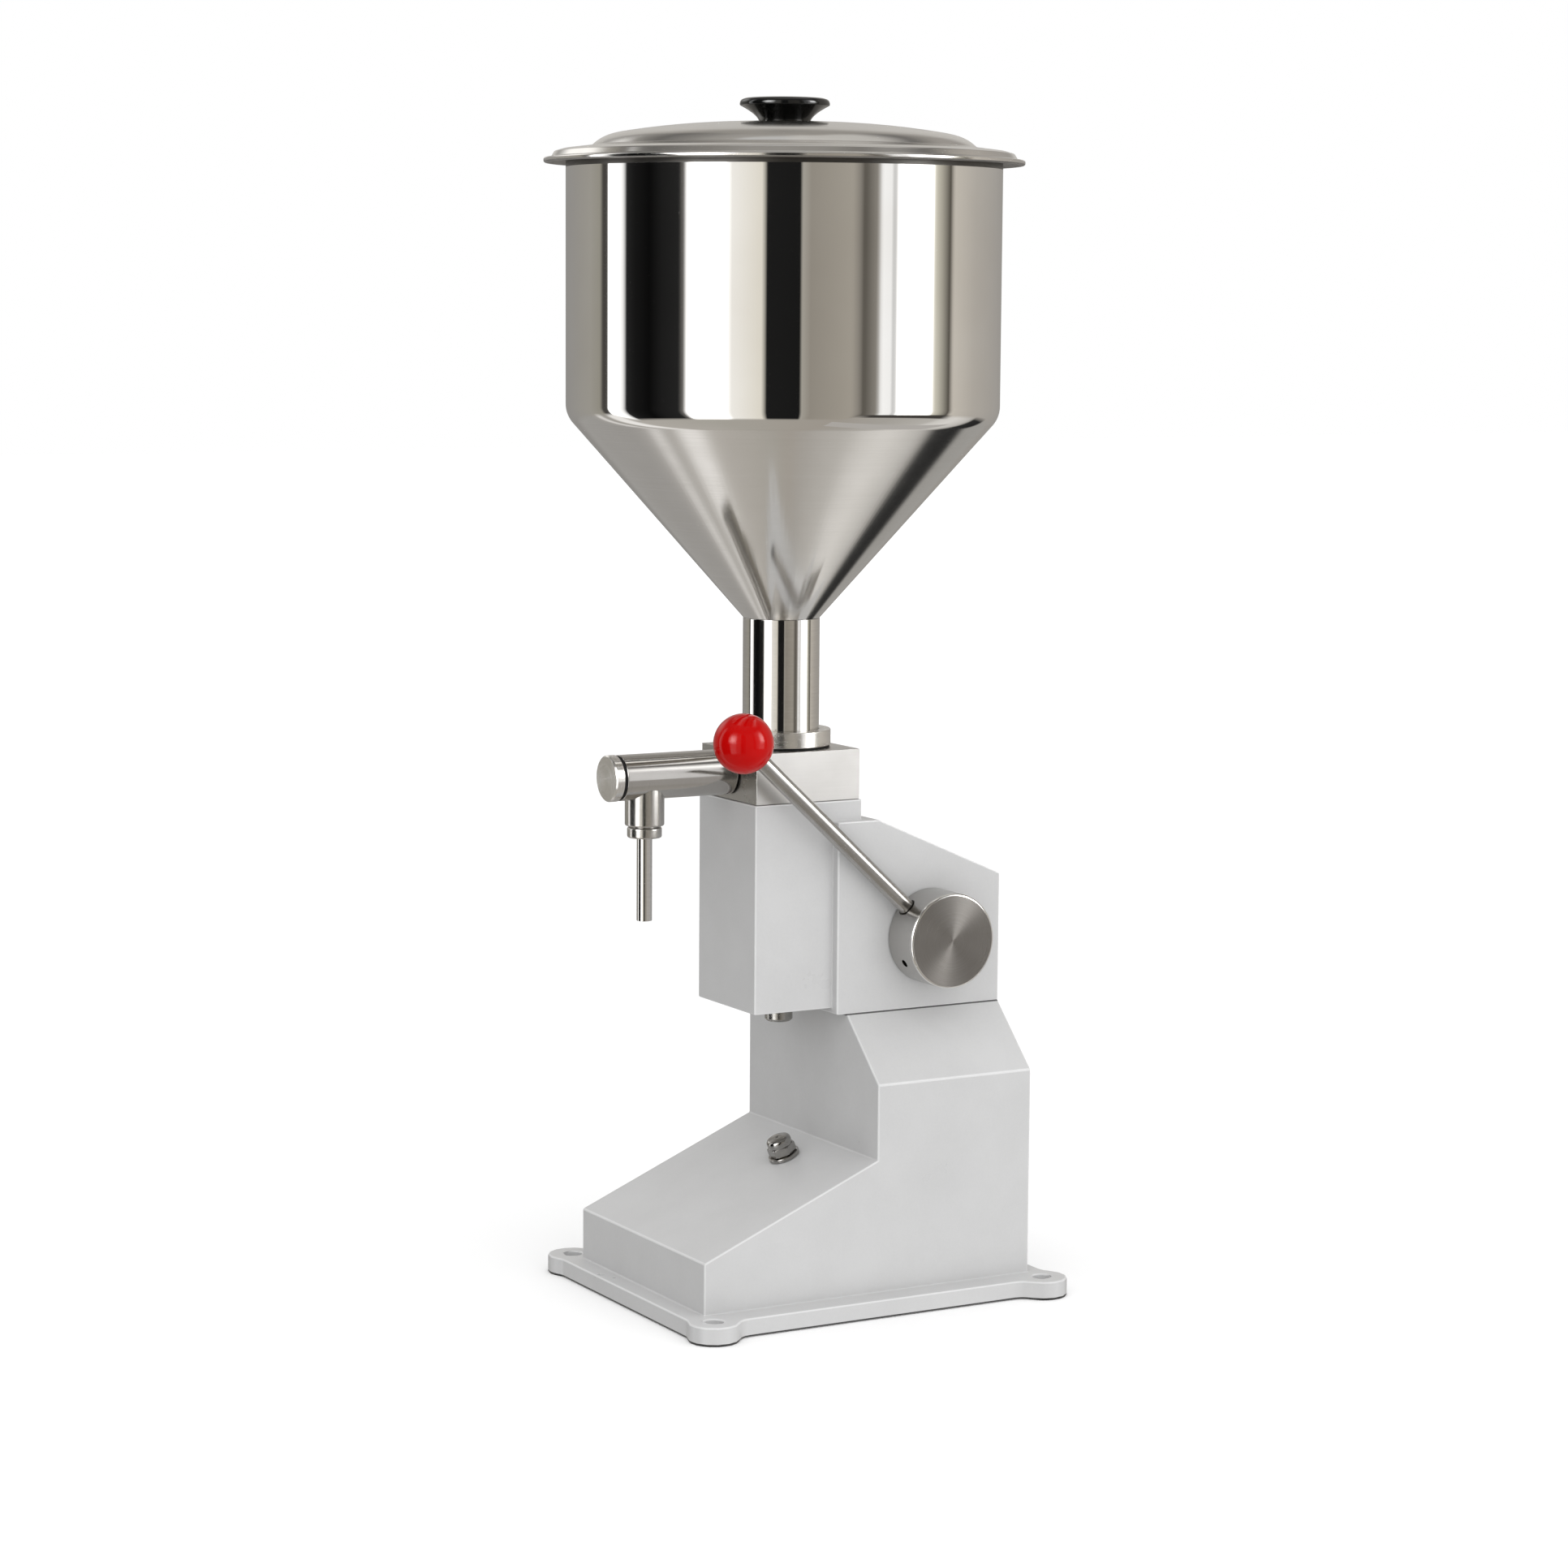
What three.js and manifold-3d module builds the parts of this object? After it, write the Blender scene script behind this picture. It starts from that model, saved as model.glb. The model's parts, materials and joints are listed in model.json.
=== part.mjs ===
// Hand operated piston filling machine for pastes, standing on a bench.
// Millimetres. +Z is up, the discharge tube points to -Y and the lever is on the +X side.
// The origin is on the hopper and piston axis, in the plane that the base lugs stand on.
// The lever is shown raised, with the piston at the top of its stroke.

import * as THREE from 'three';
import { mergeVertices } from 'three/addons/utils/BufferGeometryUtils.js';
import Module from 'manifold-3d';

const wasm = await Module();
wasm.setup();

// Clearances
const seatGap = 0.2;
const fitGap = 0.15;
const jointGap = 0.3;
const overrun = 2;

// Facets of round pieces
const bowlSides = 36;
const fineSides = 28;
const roundSides = 20;
const smallSides = 12;
const wireSides = 4;
const hexSides = 6;
const filletSteps = 3;
const arcSteps = 7;

// Base casting: plate, lugs, sloped nose and a pedestal that flares on the lever's side
const castWall = 6;
const padRelief = 0.8;
const plateTopZ = 12;
const bodyHalfWidth = 84.5;
const bodyFront = 99;
const noseTopZ = 45;
const creaseZ = 97.5;
const flareZ = 146;
const pedestalTopZ = 185;
const pedestalHalfWidth = 44;
const plateSideMargin = 17.5;
const plateFrontMargin = 13.5;
const plateRearMargin = 11.5;
const lugRadius = 16.3;
const lugHoleRadius = 6.25;
const padInset = 0.5;
const lugFillet = 12;
const lugSideBulge = 12.3;
const lugFrontBulge = 3.3;
const lugRearBulge = 6.8;

// Upper housing: column in front, box behind
const columnWall = 7.75;
const columnExtraDepth = 1;
const columnLift = 3.5;
const columnFloor = 7;
const columnCeiling = 12;
const housingOverlap = 20.75;
const housingSetback = 7.4;
const housingTopRise = 124;
const housingRearRise = 83.7;
const housingRidgeRun = 29.5;
const housingBehindShaft = 53.5;

// Lever shaft, its bushes and the swing arm
const shaftSetback = 86;
const shaftRadius = 10;
const bushWall = 4;
const bushBossWall = 6;
const bushBossDepth = 12;
const armOvershoot = 2;
const armHubRadius = 16;
const armEyeRadius = 6.5;
const armCheek = 4.5;
const armWebLength = 30;
const keyWidth = 6;
const keyHeight = 6;
const keyLength = 24;
const rollerRadius = 5;
const rollerPinRadius = 3;
const shaftWasherThickness = 1.6;
const shaftWasherRim = 5;
const ringThickness = 1.2;
const ringGrooveDepth = 0.9;
const ringRim = 2.2;
const shaftTail = 2.2;

// Piston, rod and cylinder
const pistonStroke = 50;
const boreRadius = 18;
const sleeveWall = 4;
const sleeveFlangeRim = 4;
const sleeveFlangeThickness = 5;
const sleeveSpigot = 6.5;
const pistonLength = 13;
const pistonClearance = 0.3;
const pistonSkirtDrop = 2;
const crownRise = 3.7;
const pistonSealHeight = 2.4;
const pistonSealDepth = 2.6;
const pistonSealInset = 2.2;
const rodEndRadius = 9;
const rodNeckRadius = 8;
const rodEndDrop = 12.5;
const rodChamfer = 1.5;
const yokeHalfWidth = 10;
const yokeWall = 4.65;
const yokeSlotPlay = 0.35;
const yokeFloorGap = 1.4;
const armTopGap = 1;
const yokeSideGap = 0.8;
const guideBushWall = 4;
const pistonScrewRadius = 4;
const pistonScrewHeadRadius = 6.5;
const pistonScrewHeadHeight = 4.5;
const pistonScrewReach = 20;

// Valve block and the suction valve inside it
const blockInset = 1.25;
const sealThickness = 1.5;
const cageThickness = 3;
const cageBarHeight = 3;
const cageBarWidth = 5;
const cageBarLap = 1;
const inletBallRadius = 9.5;
const inletBallLift = 3.5;
const inletHoleRadius = 7.5;
const inletFunnelRadius = 17;
const inletFlowGap = 3.5;
const inletSeatThickness = 4.1;
const inletSeatRadius = 20;
const ballPlay = 0.1;
const screwLand = 4.5;
const screwHeadRoom = 1;

// Hopper, its neck and the lid
const gasketThickness = 1;
const gasketInset = 0.6;
const collarHeight = 10.1;
const collarWall = 7.2;
const neckRadius = 24.5;
const neckWall = 1.5;
const neckLength = 81;
const hopperWall = 1.5;
const bowlRadius = 137.3;
const coneHeight = 127.8;
const cornerFillet = 18;
const bowlHeight = 163.5;
const rimBead = 2.4;
const lidWall = 1.2;
const lidLipReach = 13.9;
const lidLipDrop = 5.8;
const lidFlangeReach = 4;
const lidFlangeRise = 1.4;
const lidStepReach = 17.7;
const lidStepRise = 4.4;
const lidShoulderReach = 29.2;
const lidShoulderRise = 11.7;
const lidDomeReach = 35.5;
const lidDomeRise = 13.3;
const lidCrownRise = 19.6;
const lidSeatRadius = 24;
const knobBaseRadius = 16;
const knobLipRadius = 28.3;
const knobHeight = 15.1;
const knobLipThickness = 3.3;
const knobCrown = 1.3;
const knobFlarePower = 1.7;
const knobScrewRadius = 2.5;
const knobScrewHeadRadius = 5;
const knobScrewHeadHeight = 2.5;
const knobScrewReach = 9;

// Discharge tube, its valve, cap and nozzle
const outletDrop = 1;
const outletPortRadius = 5.5;
const tubeRadius = 14.5;
const tubeBoreRadius = 11;
const tubeLength = 77.9;
const spigotRadius = 11;
const spigotLength = 8;
const tubeShoulder = 3;
const tubeGasketThickness = 0.8;
const outletSeatThickness = 3;
const outletHoleRadius = 5;
const outletBallRadius = 7;
const springTurns = 8;
const springStepsPerTurn = 8;
const springWireRadius = 0.7;
const springRadius = 5;
const capRadius = 14.7;
const capHead = 6;
const capChamfer = 0.9;
const capSpigotLength = 9;
const capPocketRadius = 6.5;
const capPocketDepth = 6;
const capSealThickness = 1.8;
const capSealInset = 0.2;
const socketSetback = 18.7;
const socketRadius = 12.5;
const socketDrop = 31;
const socketChamfer = 1.2;
const nozzleRadius = 4.9;
const nozzleBoreRadius = 3.8;
const nozzleReach = 53;
const nozzleFlangeRim = 2.6;
const nozzleFlangeThickness = 2;
const nozzleSealThickness = 1.4;
const nutRadius = 11;
const nutHeight = 6.8;
const nutNeck = 0.8;
const nutEdge = 1.2;
const nutThreadRadius = 8.4;
const nutThreadLength = 9;

// Hand lever
const hubRadius = 30.75;
const hubGap = 0.6;
const hubLength = 28.9;
const hubFaceThickness = 7;
const hubChamfer = 1;
const leverPlaneShare = 0.29;
const setScrewPlaneShare = 0.5;
const leverRiseDegrees = 42.9;
const leverLength = 194;
const leverRodRadius = 5.25;
const leverHoleRim = 1;
const leverHoleSink = 3;
const leverRodStop = 3;
const leverBallRadius = 19;
const ballHoleShare = 0.6;
const setScrewRadius = 2.5;
const setScrewLength = 12;
const setScrewDegrees = 71;
const setScrewFlat = 0.8;
const setScrewSocketRadius = 1.4;

// Fasteners and the stroke stop
const boltRadius = 4;
const boltHeadFlats = 13;
const boltHeadHeight = 5.3;
const boltInset = 8;
const boltReach = 9;
const bossRise = 18;
const blockScrewRadius = 3;
const blockScrewHeadRadius = 5;
const blockScrewHeadHeight = 6;
const blockScrewReach = 13;
const blockScrewSocketRadius = 2.9;
const adjusterX = 6.5;
const adjusterY = 1.5;
const adjusterRadius = 5;
const adjusterStudLength = 57;
const adjusterBossWall = 8;
const adjusterBossLength = 24;
const adjusterNutFlats = 16;
const adjusterHexHeight = 5;
const adjusterDomeHeight = 5.8;
const adjusterDomeRadius = 8.2;
const adjusterNutGap = 1.2;
const adjusterNutDepth = 7.5;
const adjusterWasherRadius = 10.3;
const adjusterWasherThickness = 2.4;

// Places across the machine, from the piston bore outwards
const sleeveRadius = boreRadius + sleeveWall;
const flangeRadius = sleeveRadius + sleeveFlangeRim;
const blockScrewPlace = (flangeRadius + jointGap + blockScrewRadius + screwLand) * Math.SQRT1_2;
const cavityHalf = blockScrewPlace + blockScrewHeadRadius + screwHeadRoom;
const columnHalfX = cavityHalf + columnWall;
const columnHalfY = columnHalfX + columnExtraDepth;
const blockHalfX = columnHalfX - blockInset;
const blockHalfY = columnHalfY - blockInset;
const housingFrontY = columnHalfY - housingOverlap;
const housingRearY = shaftSetback + housingBehindShaft;
const housingHalfWidth = pedestalHalfWidth;
const pedestalFrontY = housingFrontY + housingSetback;
const pedestalRearY = housingRearY;
const bushRadius = shaftRadius + bushWall;
const guideBushRadius = rodEndRadius + guideBushWall;

// Swing of the arm and travel of the rod that it moves
const armReach = shaftSetback + armOvershoot;
const armHalfWidth = yokeHalfWidth + yokeSideGap + armCheek;
const swing = Math.asin(pistonStroke / 2 / armReach);
const travelPerRadian = armReach * (1 - swing * swing / 8);
const rodTravel = 2 * swing * travelPerRadian;
const rollerPlay = rollerRadius + yokeSlotPlay;
const yokeHalfHeight = rollerPlay + yokeWall;
const rollerBackY = shaftSetback - armReach * Math.cos(swing);

// Heights, from the bench upwards
const columnBottomZ = pedestalTopZ + columnLift;
const columnFloorZ = columnBottomZ + columnFloor;
const shaftZ = columnFloorZ + yokeFloorGap + yokeHalfHeight + rodTravel / 2;
const yokeZ = shaftZ + rodTravel / 2;
const sleeveBottomZ = shaftZ + pistonStroke / 2 + armEyeRadius + armTopGap;
const crownZ = sleeveBottomZ + rodTravel + pistonLength - pistonSkirtDrop;
const pistonBottomZ = crownZ - pistonLength;
const columnTopZ = crownZ - crownRise;
const ceilingZ = columnTopZ - columnCeiling;
const blockBottomZ = columnTopZ + seatGap;
const sleeveTopZ = columnTopZ + sleeveSpigot;
const sealBottomZ = sleeveTopZ + seatGap;
const cageBottomZ = sealBottomZ + sealThickness + seatGap;
const recessTopZ = cageBottomZ + cageThickness + seatGap;
const cageBarTopZ = cageBottomZ + cageBarLap;
const inletBallZ = cageBarTopZ + ballPlay + inletBallRadius;
const inletContactRise = Math.sqrt(inletBallRadius ** 2 - inletHoleRadius ** 2);
const inletSeatZ = inletBallZ + inletBallLift + inletContactRise + ballPlay;
const blockTopZ = inletSeatZ + inletSeatThickness;
const gasketBottomZ = blockTopZ + seatGap;
const collarBottomZ = gasketBottomZ + gasketThickness + seatGap;
const neckTopZ = collarBottomZ + neckLength;
const coneBottomZ = neckTopZ + seatGap;
const bowlCornerZ = coneBottomZ + coneHeight;
const rimTopZ = bowlCornerZ + bowlHeight;
const lidCrownZ = rimTopZ + lidCrownRise;
const tubeZ = inletBallZ - outletDrop;

// Places along the discharge tube, forward of the piston axis
const tubeShoulderT = blockHalfY + seatGap + tubeGasketThickness + seatGap;
const tubeEndT = tubeShoulderT + tubeLength;
const tubeBoreT = tubeShoulderT + tubeShoulder;
const outletSeatEndT = tubeBoreT + seatGap + outletSeatThickness;
const outletContact = Math.sqrt(outletBallRadius ** 2 - outletHoleRadius ** 2);
const outletBallT = outletSeatEndT + outletContact + ballPlay;
const capSealT = tubeEndT + seatGap;
const capHeadT = capSealT + capSealThickness + seatGap;
const socketT = tubeEndT - socketSetback;
const socketBottomZ = tubeZ - socketDrop;
const nutTopZ = socketBottomZ - nutNeck;
const nutBottomZ = nutTopZ - nutHeight;
const nozzleFlangeZ = nutTopZ + nutThreadLength + seatGap;
const nozzleSealZ = nozzleFlangeZ + nozzleFlangeThickness + seatGap;
const socketStepZ = nozzleSealZ + nozzleSealThickness + seatGap;

// Slope that carries the stroke stop
const slopeTangent = (creaseZ - noseTopZ) / (pedestalFrontY + bodyFront);
const slopeAngle = Math.atan(slopeTangent);
const slopeZ = (y) => noseTopZ + (y + bodyFront) * slopeTangent;

// Lever plane, between the housing side and the hub face
const hubBackX = housingHalfWidth + hubGap;
const hubFrontX = hubBackX + hubLength;
const leverX = hubBackX + hubLength * leverPlaneShare;
const setScrewX = hubBackX + hubLength * setScrewPlaneShare;
const leverRise = THREE.MathUtils.degToRad(leverRiseDegrees);
const setScrewTurn = THREE.MathUtils.degToRad(setScrewDegrees);

// Materials
const finish = (color, roughness, metalness) =>
  new THREE.MeshStandardMaterial({ color, roughness, metalness });
const lightEnamel = () => finish(0xd4d4d4, 0.4, 0.1);
const satinSteel = () => finish(0xc9c6c0, 0.35, 0.95);
const polishedSteel = () => finish(0xd8d4cd, 0.12, 1);
const darkSteel = () => finish(0x8a8782, 0.45, 0.9);
const bronze = () => finish(0xb08a4a, 0.4, 0.9);
const blackRubber = () => finish(0x161616, 0.6, 0);
const paleSealPlastic = () => finish(0xf0efe9, 0.5, 0);
const blackPlastic = () => finish(0x0c0c0c, 0.15, 0);
const redPlastic = () => finish(0xc90808, 0.12, 0);

// Turns a closed geometry into a solid, with its faces pointing out
function toSolid(geometry) {
  const bare = geometry.clone();
  bare.deleteAttribute('normal');
  bare.deleteAttribute('uv');
  const merged = mergeVertices(bare);
  const position = merged.attributes.position;
  const corner = (i) => new THREE.Vector3().fromBufferAttribute(position, i);
  const triangles = [];
  let volume = 0;
  for (let i = 0; i < merged.index.count; i += 3) {
    const [a, b, c] = [0, 1, 2].map((k) => merged.index.getX(i + k));
    if (a === b || b === c || c === a) {
      continue;
    }
    triangles.push([a, b, c]);
    volume += corner(a).dot(corner(b).cross(corner(c)));
  }
  const order = volume < 0 ? triangles.map(([a, b, c]) => [a, c, b]) : triangles;
  return new wasm.Manifold(new wasm.Mesh({
    numProp: 3,
    vertProperties: new Float32Array(position.array),
    triVerts: new Uint32Array(order.flat()),
  }));
}

// Turns a solid back into a geometry
function toGeometry(solid) {
  const cut = solid.getMesh();
  const geometry = new THREE.BufferGeometry();
  geometry.setAttribute('position', new THREE.BufferAttribute(new Float32Array(cut.vertProperties), 3));
  geometry.setIndex(new THREE.BufferAttribute(new Uint32Array(cut.triVerts), 1));
  const flat = geometry.toNonIndexed();
  flat.computeVertexNormals();
  return flat;
}

const joined = (...solids) => solids.reduce((sum, solid) => sum.add(solid));
const without = (body, ...cutters) => cutters.reduce((rest, cutter) => rest.subtract(cutter), body);

// Prisms: the outline's points are (Y, Z), (X, Z) and (X, Y)
function prism(points, depth, matrix) {
  const shape = new THREE.Shape(points.map(([a, b]) => new THREE.Vector2(a, b)));
  const geometry = new THREE.ExtrudeGeometry(shape, { depth, bevelEnabled: false, steps: 1 });
  geometry.applyMatrix4(matrix);
  return toSolid(geometry);
}

const along = (x, y, z) => new THREE.Matrix4().makeBasis(x, y, z);
const unitX = new THREE.Vector3(1, 0, 0);
const unitY = new THREE.Vector3(0, 1, 0);
const unitZ = new THREE.Vector3(0, 0, 1);
const shifted = (x, y, z) => new THREE.Matrix4().makeTranslation(x, y, z);

const prismX = (points, x0, x1) =>
  prism(points, x1 - x0, along(unitY, unitZ, unitX).premultiply(shifted(x0, 0, 0)));
const prismY = (points, y0, y1) =>
  prism(points, y1 - y0, along(unitX, unitZ, unitY.clone().negate()).premultiply(shifted(0, y1, 0)));
const prismZ = (points, z0, z1) => prism(points, z1 - z0, shifted(0, 0, z0));
const box = (x0, x1, y0, y1, z0, z1) => prismZ([[x0, y0], [x1, y0], [x1, y1], [x0, y1]], z0, z1);

// Turned pieces: the profile's points are (radius, place along the axis)
function turned(profile, sides = roundSides, matrix = new THREE.Matrix4()) {
  const [first] = profile;
  const last = profile[profile.length - 1];
  const closes = first[0] > 0 || last[0] > 0;
  const points = (closes ? [...profile, first] : profile).map(([r, t]) => new THREE.Vector2(r, t));
  const geometry = new THREE.LatheGeometry(points, sides);
  geometry.rotateX(Math.PI / 2);
  geometry.applyMatrix4(matrix);
  return toSolid(geometry);
}

const rod = (radius, t0, t1, sides, matrix) =>
  turned([[0, t0], [radius, t0], [radius, t1], [0, t1]], sides, matrix);
const ring = (inner, outer, t0, t1, sides, matrix) =>
  turned([[inner, t0], [outer, t0], [outer, t1], [inner, t1]], sides, matrix);
const hexagon = (flats) => Array.from({ length: hexSides }, (_, i) => {
  const angle = (2 * i + 1) * Math.PI / hexSides;
  const radius = flats / 2 / Math.cos(Math.PI / hexSides);
  return [radius * Math.cos(angle), radius * Math.sin(angle)];
});

// Directions of turned pieces: along +X, along -Y and down the radius of the lever hub
const towardsX = along(unitZ.clone().negate(), unitY, unitX);
const forward = new THREE.Matrix4().makeRotationX(Math.PI / 2);
const forwardAt = (z) => shifted(0, 0, z).multiply(forward);
const radial = (x, angle) => shifted(x, 0, 0)
  .multiply(new THREE.Matrix4().makeRotationX(angle))
  .multiply(forward);

// Points of an arc from one angle to another
function arc(cx, cy, radius, from, to, steps) {
  return Array.from({ length: steps + 1 }, (_, i) => {
    const angle = from + (to - from) * i / steps;
    return [cx + radius * Math.cos(angle), cy + radius * Math.sin(angle)];
  });
}

const group = new THREE.Group();
const swingGroup = new THREE.Group();
const armGroup = new THREE.Group();
const leverGroup = new THREE.Group();
const dischargeGroup = new THREE.Group();
const adjusterGroup = new THREE.Group();
swingGroup.position.set(0, shaftSetback, shaftZ);
armGroup.rotation.x = -swing;
leverGroup.rotation.x = -leverRise;
dischargeGroup.position.set(0, 0, tubeZ);
dischargeGroup.rotation.x = Math.PI / 2;
adjusterGroup.position.set(adjusterX, adjusterY, slopeZ(adjusterY));
adjusterGroup.rotation.x = slopeAngle;
swingGroup.add(armGroup, leverGroup);
group.add(swingGroup, dischargeGroup, adjusterGroup);

function addPiece(name, solid, material, parent = group) {
  const mesh = new THREE.Mesh(toGeometry(solid), material);
  mesh.name = name;
  parent.add(mesh);
}

// Base casting

const plateHalfWidth = bodyHalfWidth + plateSideMargin;
const plateFront = bodyFront + plateFrontMargin;
const plateRear = pedestalRearY + plateRearMargin;
const lugX = plateHalfWidth + lugSideBulge - lugRadius;
const lugFront = plateFront + lugFrontBulge - lugRadius;
const lugRear = plateRear + lugRearBulge - lugRadius;

// Outline of one corner in the first quadrant, from the side edge to the end edge
function lugCorner(lugY, endBulge) {
  const sideOut = lugRadius + lugFillet - lugSideBulge;
  const endOut = lugRadius + lugFillet - endBulge;
  const sideRun = Math.sqrt((lugRadius + lugFillet) ** 2 - sideOut ** 2);
  const endRun = Math.sqrt((lugRadius + lugFillet) ** 2 - endOut ** 2);
  const sideTurn = Math.atan2(sideRun, sideOut);
  const endTurn = Math.atan2(endOut, endRun);
  const sideFillet = arc(
    lugX + sideOut, lugY - sideRun, lugFillet, Math.PI, Math.PI - sideTurn, filletSteps);
  const lugArc = arc(lugX, lugY, lugRadius, -sideTurn, Math.PI - endTurn, arcSteps);
  const endFillet = arc(
    lugX - endRun, lugY + endOut, lugFillet, -endTurn, -Math.PI / 2, filletSteps);
  return [...sideFillet, ...lugArc.slice(1, -1), ...endFillet];
}

function plateOutline() {
  const rear = lugCorner(lugRear, lugRearBulge);
  const front = lugCorner(lugFront, lugFrontBulge);
  return [
    ...rear,
    ...rear.map(([x, y]) => [-x, y]).reverse(),
    ...front.map(([x, y]) => [-x, -y]),
    ...front.map(([x, y]) => [x, -y]).reverse(),
  ];
}

const lugPlaces = [[lugX, -lugFront], [-lugX, -lugFront], [lugX, lugRear], [-lugX, lugRear]];
const boltX = pedestalHalfWidth - castWall - boltInset;
const boltPlaces = [pedestalFrontY, pedestalRearY].flatMap((y, end) => {
  const inward = end === 0 ? castWall + boltInset : -castWall - boltInset;
  return [[boltX, y + inward], [-boltX, y + inward]];
});

const slopeDrop = castWall / Math.cos(slopeAngle);
const flareRun = bodyHalfWidth - pedestalHalfWidth;
const flareRise = pedestalTopZ - flareZ;
const flareShift = castWall * Math.hypot(flareRun, flareRise) / flareRise;
const adjusterPlace = shifted(adjusterX, adjusterY, slopeZ(adjusterY))
  .multiply(new THREE.Matrix4().makeRotationX(slopeAngle));

function bodyOuter() {
  const side = prismX([
    [-bodyFront, padRelief],
    [pedestalRearY, padRelief],
    [pedestalRearY, pedestalTopZ],
    [pedestalFrontY, pedestalTopZ],
    [pedestalFrontY, creaseZ],
    [-bodyFront, noseTopZ],
  ], -bodyHalfWidth, bodyHalfWidth);
  const front = prismY([
    [-bodyHalfWidth, padRelief],
    [bodyHalfWidth, padRelief],
    [bodyHalfWidth, flareZ],
    [pedestalHalfWidth, pedestalTopZ],
    [-bodyHalfWidth, pedestalTopZ],
  ], -bodyFront, pedestalRearY);
  return side.intersect(front);
}

function bodyHollow() {
  const innerHalf = bodyHalfWidth - castWall;
  const innerTopZ = pedestalTopZ - castWall;
  const innerTopHalf = pedestalHalfWidth + flareRun * castWall / flareRise - flareShift;
  const innerFlareZ = flareZ - (flareShift - castWall) * flareRise / flareRun;
  const side = prismX([
    [castWall - bodyFront, -overrun],
    [pedestalRearY - castWall, -overrun],
    [pedestalRearY - castWall, innerTopZ],
    [pedestalFrontY + castWall, innerTopZ],
    [pedestalFrontY + castWall, slopeZ(pedestalFrontY + castWall) - slopeDrop],
    [castWall - bodyFront, slopeZ(castWall - bodyFront) - slopeDrop],
  ], -innerHalf, innerHalf);
  const front = prismY([
    [-innerHalf, -overrun],
    [innerHalf, -overrun],
    [innerHalf, innerFlareZ],
    [innerTopHalf, innerTopZ],
    [-innerHalf, innerTopZ],
  ], castWall - bodyFront, pedestalRearY - castWall);
  return side.intersect(front);
}

function baseCasting() {
  const plate = prismZ(plateOutline(), padRelief, plateTopZ);
  const pads = lugPlaces.map(([x, y]) =>
    rod(lugRadius - padInset, 0, plateTopZ / 2, roundSides, shifted(x, y, 0)));
  const boss = rod(
    adjusterRadius + adjusterBossWall, -adjusterBossLength, -castWall / 2, roundSides, adjusterPlace);
  const lugHoles = lugPlaces.map(([x, y]) =>
    rod(lugHoleRadius, -overrun, plateTopZ + overrun, roundSides, shifted(x, y, 0)));
  const boltHoles = boltPlaces.map(([x, y]) =>
    rod(boltRadius + jointGap, pedestalTopZ - castWall - overrun, pedestalTopZ + overrun,
      smallSides, shifted(x, y, 0)));
  const studHole = rod(
    adjusterRadius + fitGap, -adjusterBossLength - overrun, overrun, roundSides, adjusterPlace);
  const shell = without(joined(plate, ...pads, bodyOuter()), bodyHollow());
  return without(shell.add(boss), studHole, ...lugHoles, ...boltHoles);
}

function housingBolt([x, y]) {
  const headTopZ = pedestalTopZ - castWall - seatGap;
  return joined(
    prismZ(hexagon(boltHeadFlats).map(([a, b]) => [a + x, b + y]), headTopZ - boltHeadHeight, headTopZ),
    rod(boltRadius, headTopZ - seatGap, pedestalTopZ + boltReach - jointGap, smallSides, shifted(x, y, 0)));
}

// Stroke stop on the slope

function adjusterStud() {
  const topT = adjusterWasherThickness + adjusterNutGap + adjusterNutDepth - jointGap;
  return rod(adjusterRadius, topT - adjusterStudLength, topT, roundSides);
}

function adjusterWasher() {
  return ring(adjusterRadius + jointGap, adjusterWasherRadius,
    jointGap, jointGap + adjusterWasherThickness, roundSides);
}

function adjusterNut() {
  const bottomT = adjusterWasherThickness + adjusterNutGap;
  const hexTopT = bottomT + adjusterHexHeight;
  const topT = hexTopT + adjusterDomeHeight;
  const shoulder = adjusterDomeHeight / 2;
  const dome = arc(adjusterDomeRadius - shoulder, topT - shoulder, shoulder, 0, Math.PI / 2, filletSteps);
  return without(
    joined(
      prismZ(hexagon(adjusterNutFlats), bottomT, hexTopT),
      turned([[0, bottomT + seatGap], [adjusterDomeRadius, bottomT + seatGap], ...dome, [0, topT]])),
    rod(adjusterRadius + fitGap, bottomT - overrun, bottomT + adjusterNutDepth, roundSides));
}

// Upper housing

const housingTopZ = pedestalTopZ + housingTopRise;
const housingRearZ = pedestalTopZ + housingRearRise;
const ridgeY = housingFrontY + housingRidgeRun;
const bushBossRadius = bushRadius + bushBossWall;
const bushInnerX = housingHalfWidth - castWall - bushBossDepth;
const boxFloorY = pedestalFrontY + castWall + 2 * boltInset;

function housingHollow() {
  const innerTopZ = housingTopZ - castWall;
  const roofAngle = Math.atan2(housingTopZ - housingRearZ, housingRearY - ridgeY);
  const innerRearY = housingRearY - castWall;
  const roofDrop = castWall / Math.cos(roofAngle);
  const innerRearZ = housingRearZ + castWall * Math.tan(roofAngle) - roofDrop;
  const innerRidgeY = ridgeY - (roofDrop - castWall) / Math.tan(roofAngle);
  const roomHalf = housingHalfWidth - castWall;
  return prismX([
    [boxFloorY, pedestalTopZ - overrun],
    [innerRearY, pedestalTopZ - overrun],
    [innerRearY, innerRearZ],
    [innerRidgeY, innerTopZ],
    [housingFrontY + castWall, innerTopZ],
    [housingFrontY + castWall, columnFloorZ],
    [boxFloorY, columnFloorZ],
  ], -roomHalf, roomHalf);
}

function housingOuter() {
  const column = box(
    -columnHalfX, columnHalfX, -columnHalfY, columnHalfY, columnBottomZ, columnTopZ);
  const rear = prismX([
    [housingFrontY, pedestalTopZ],
    [housingRearY, pedestalTopZ],
    [housingRearY, housingRearZ],
    [ridgeY, housingTopZ],
    [housingFrontY, housingTopZ],
  ], -housingHalfWidth, housingHalfWidth);
  return column.add(rear);
}

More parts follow.
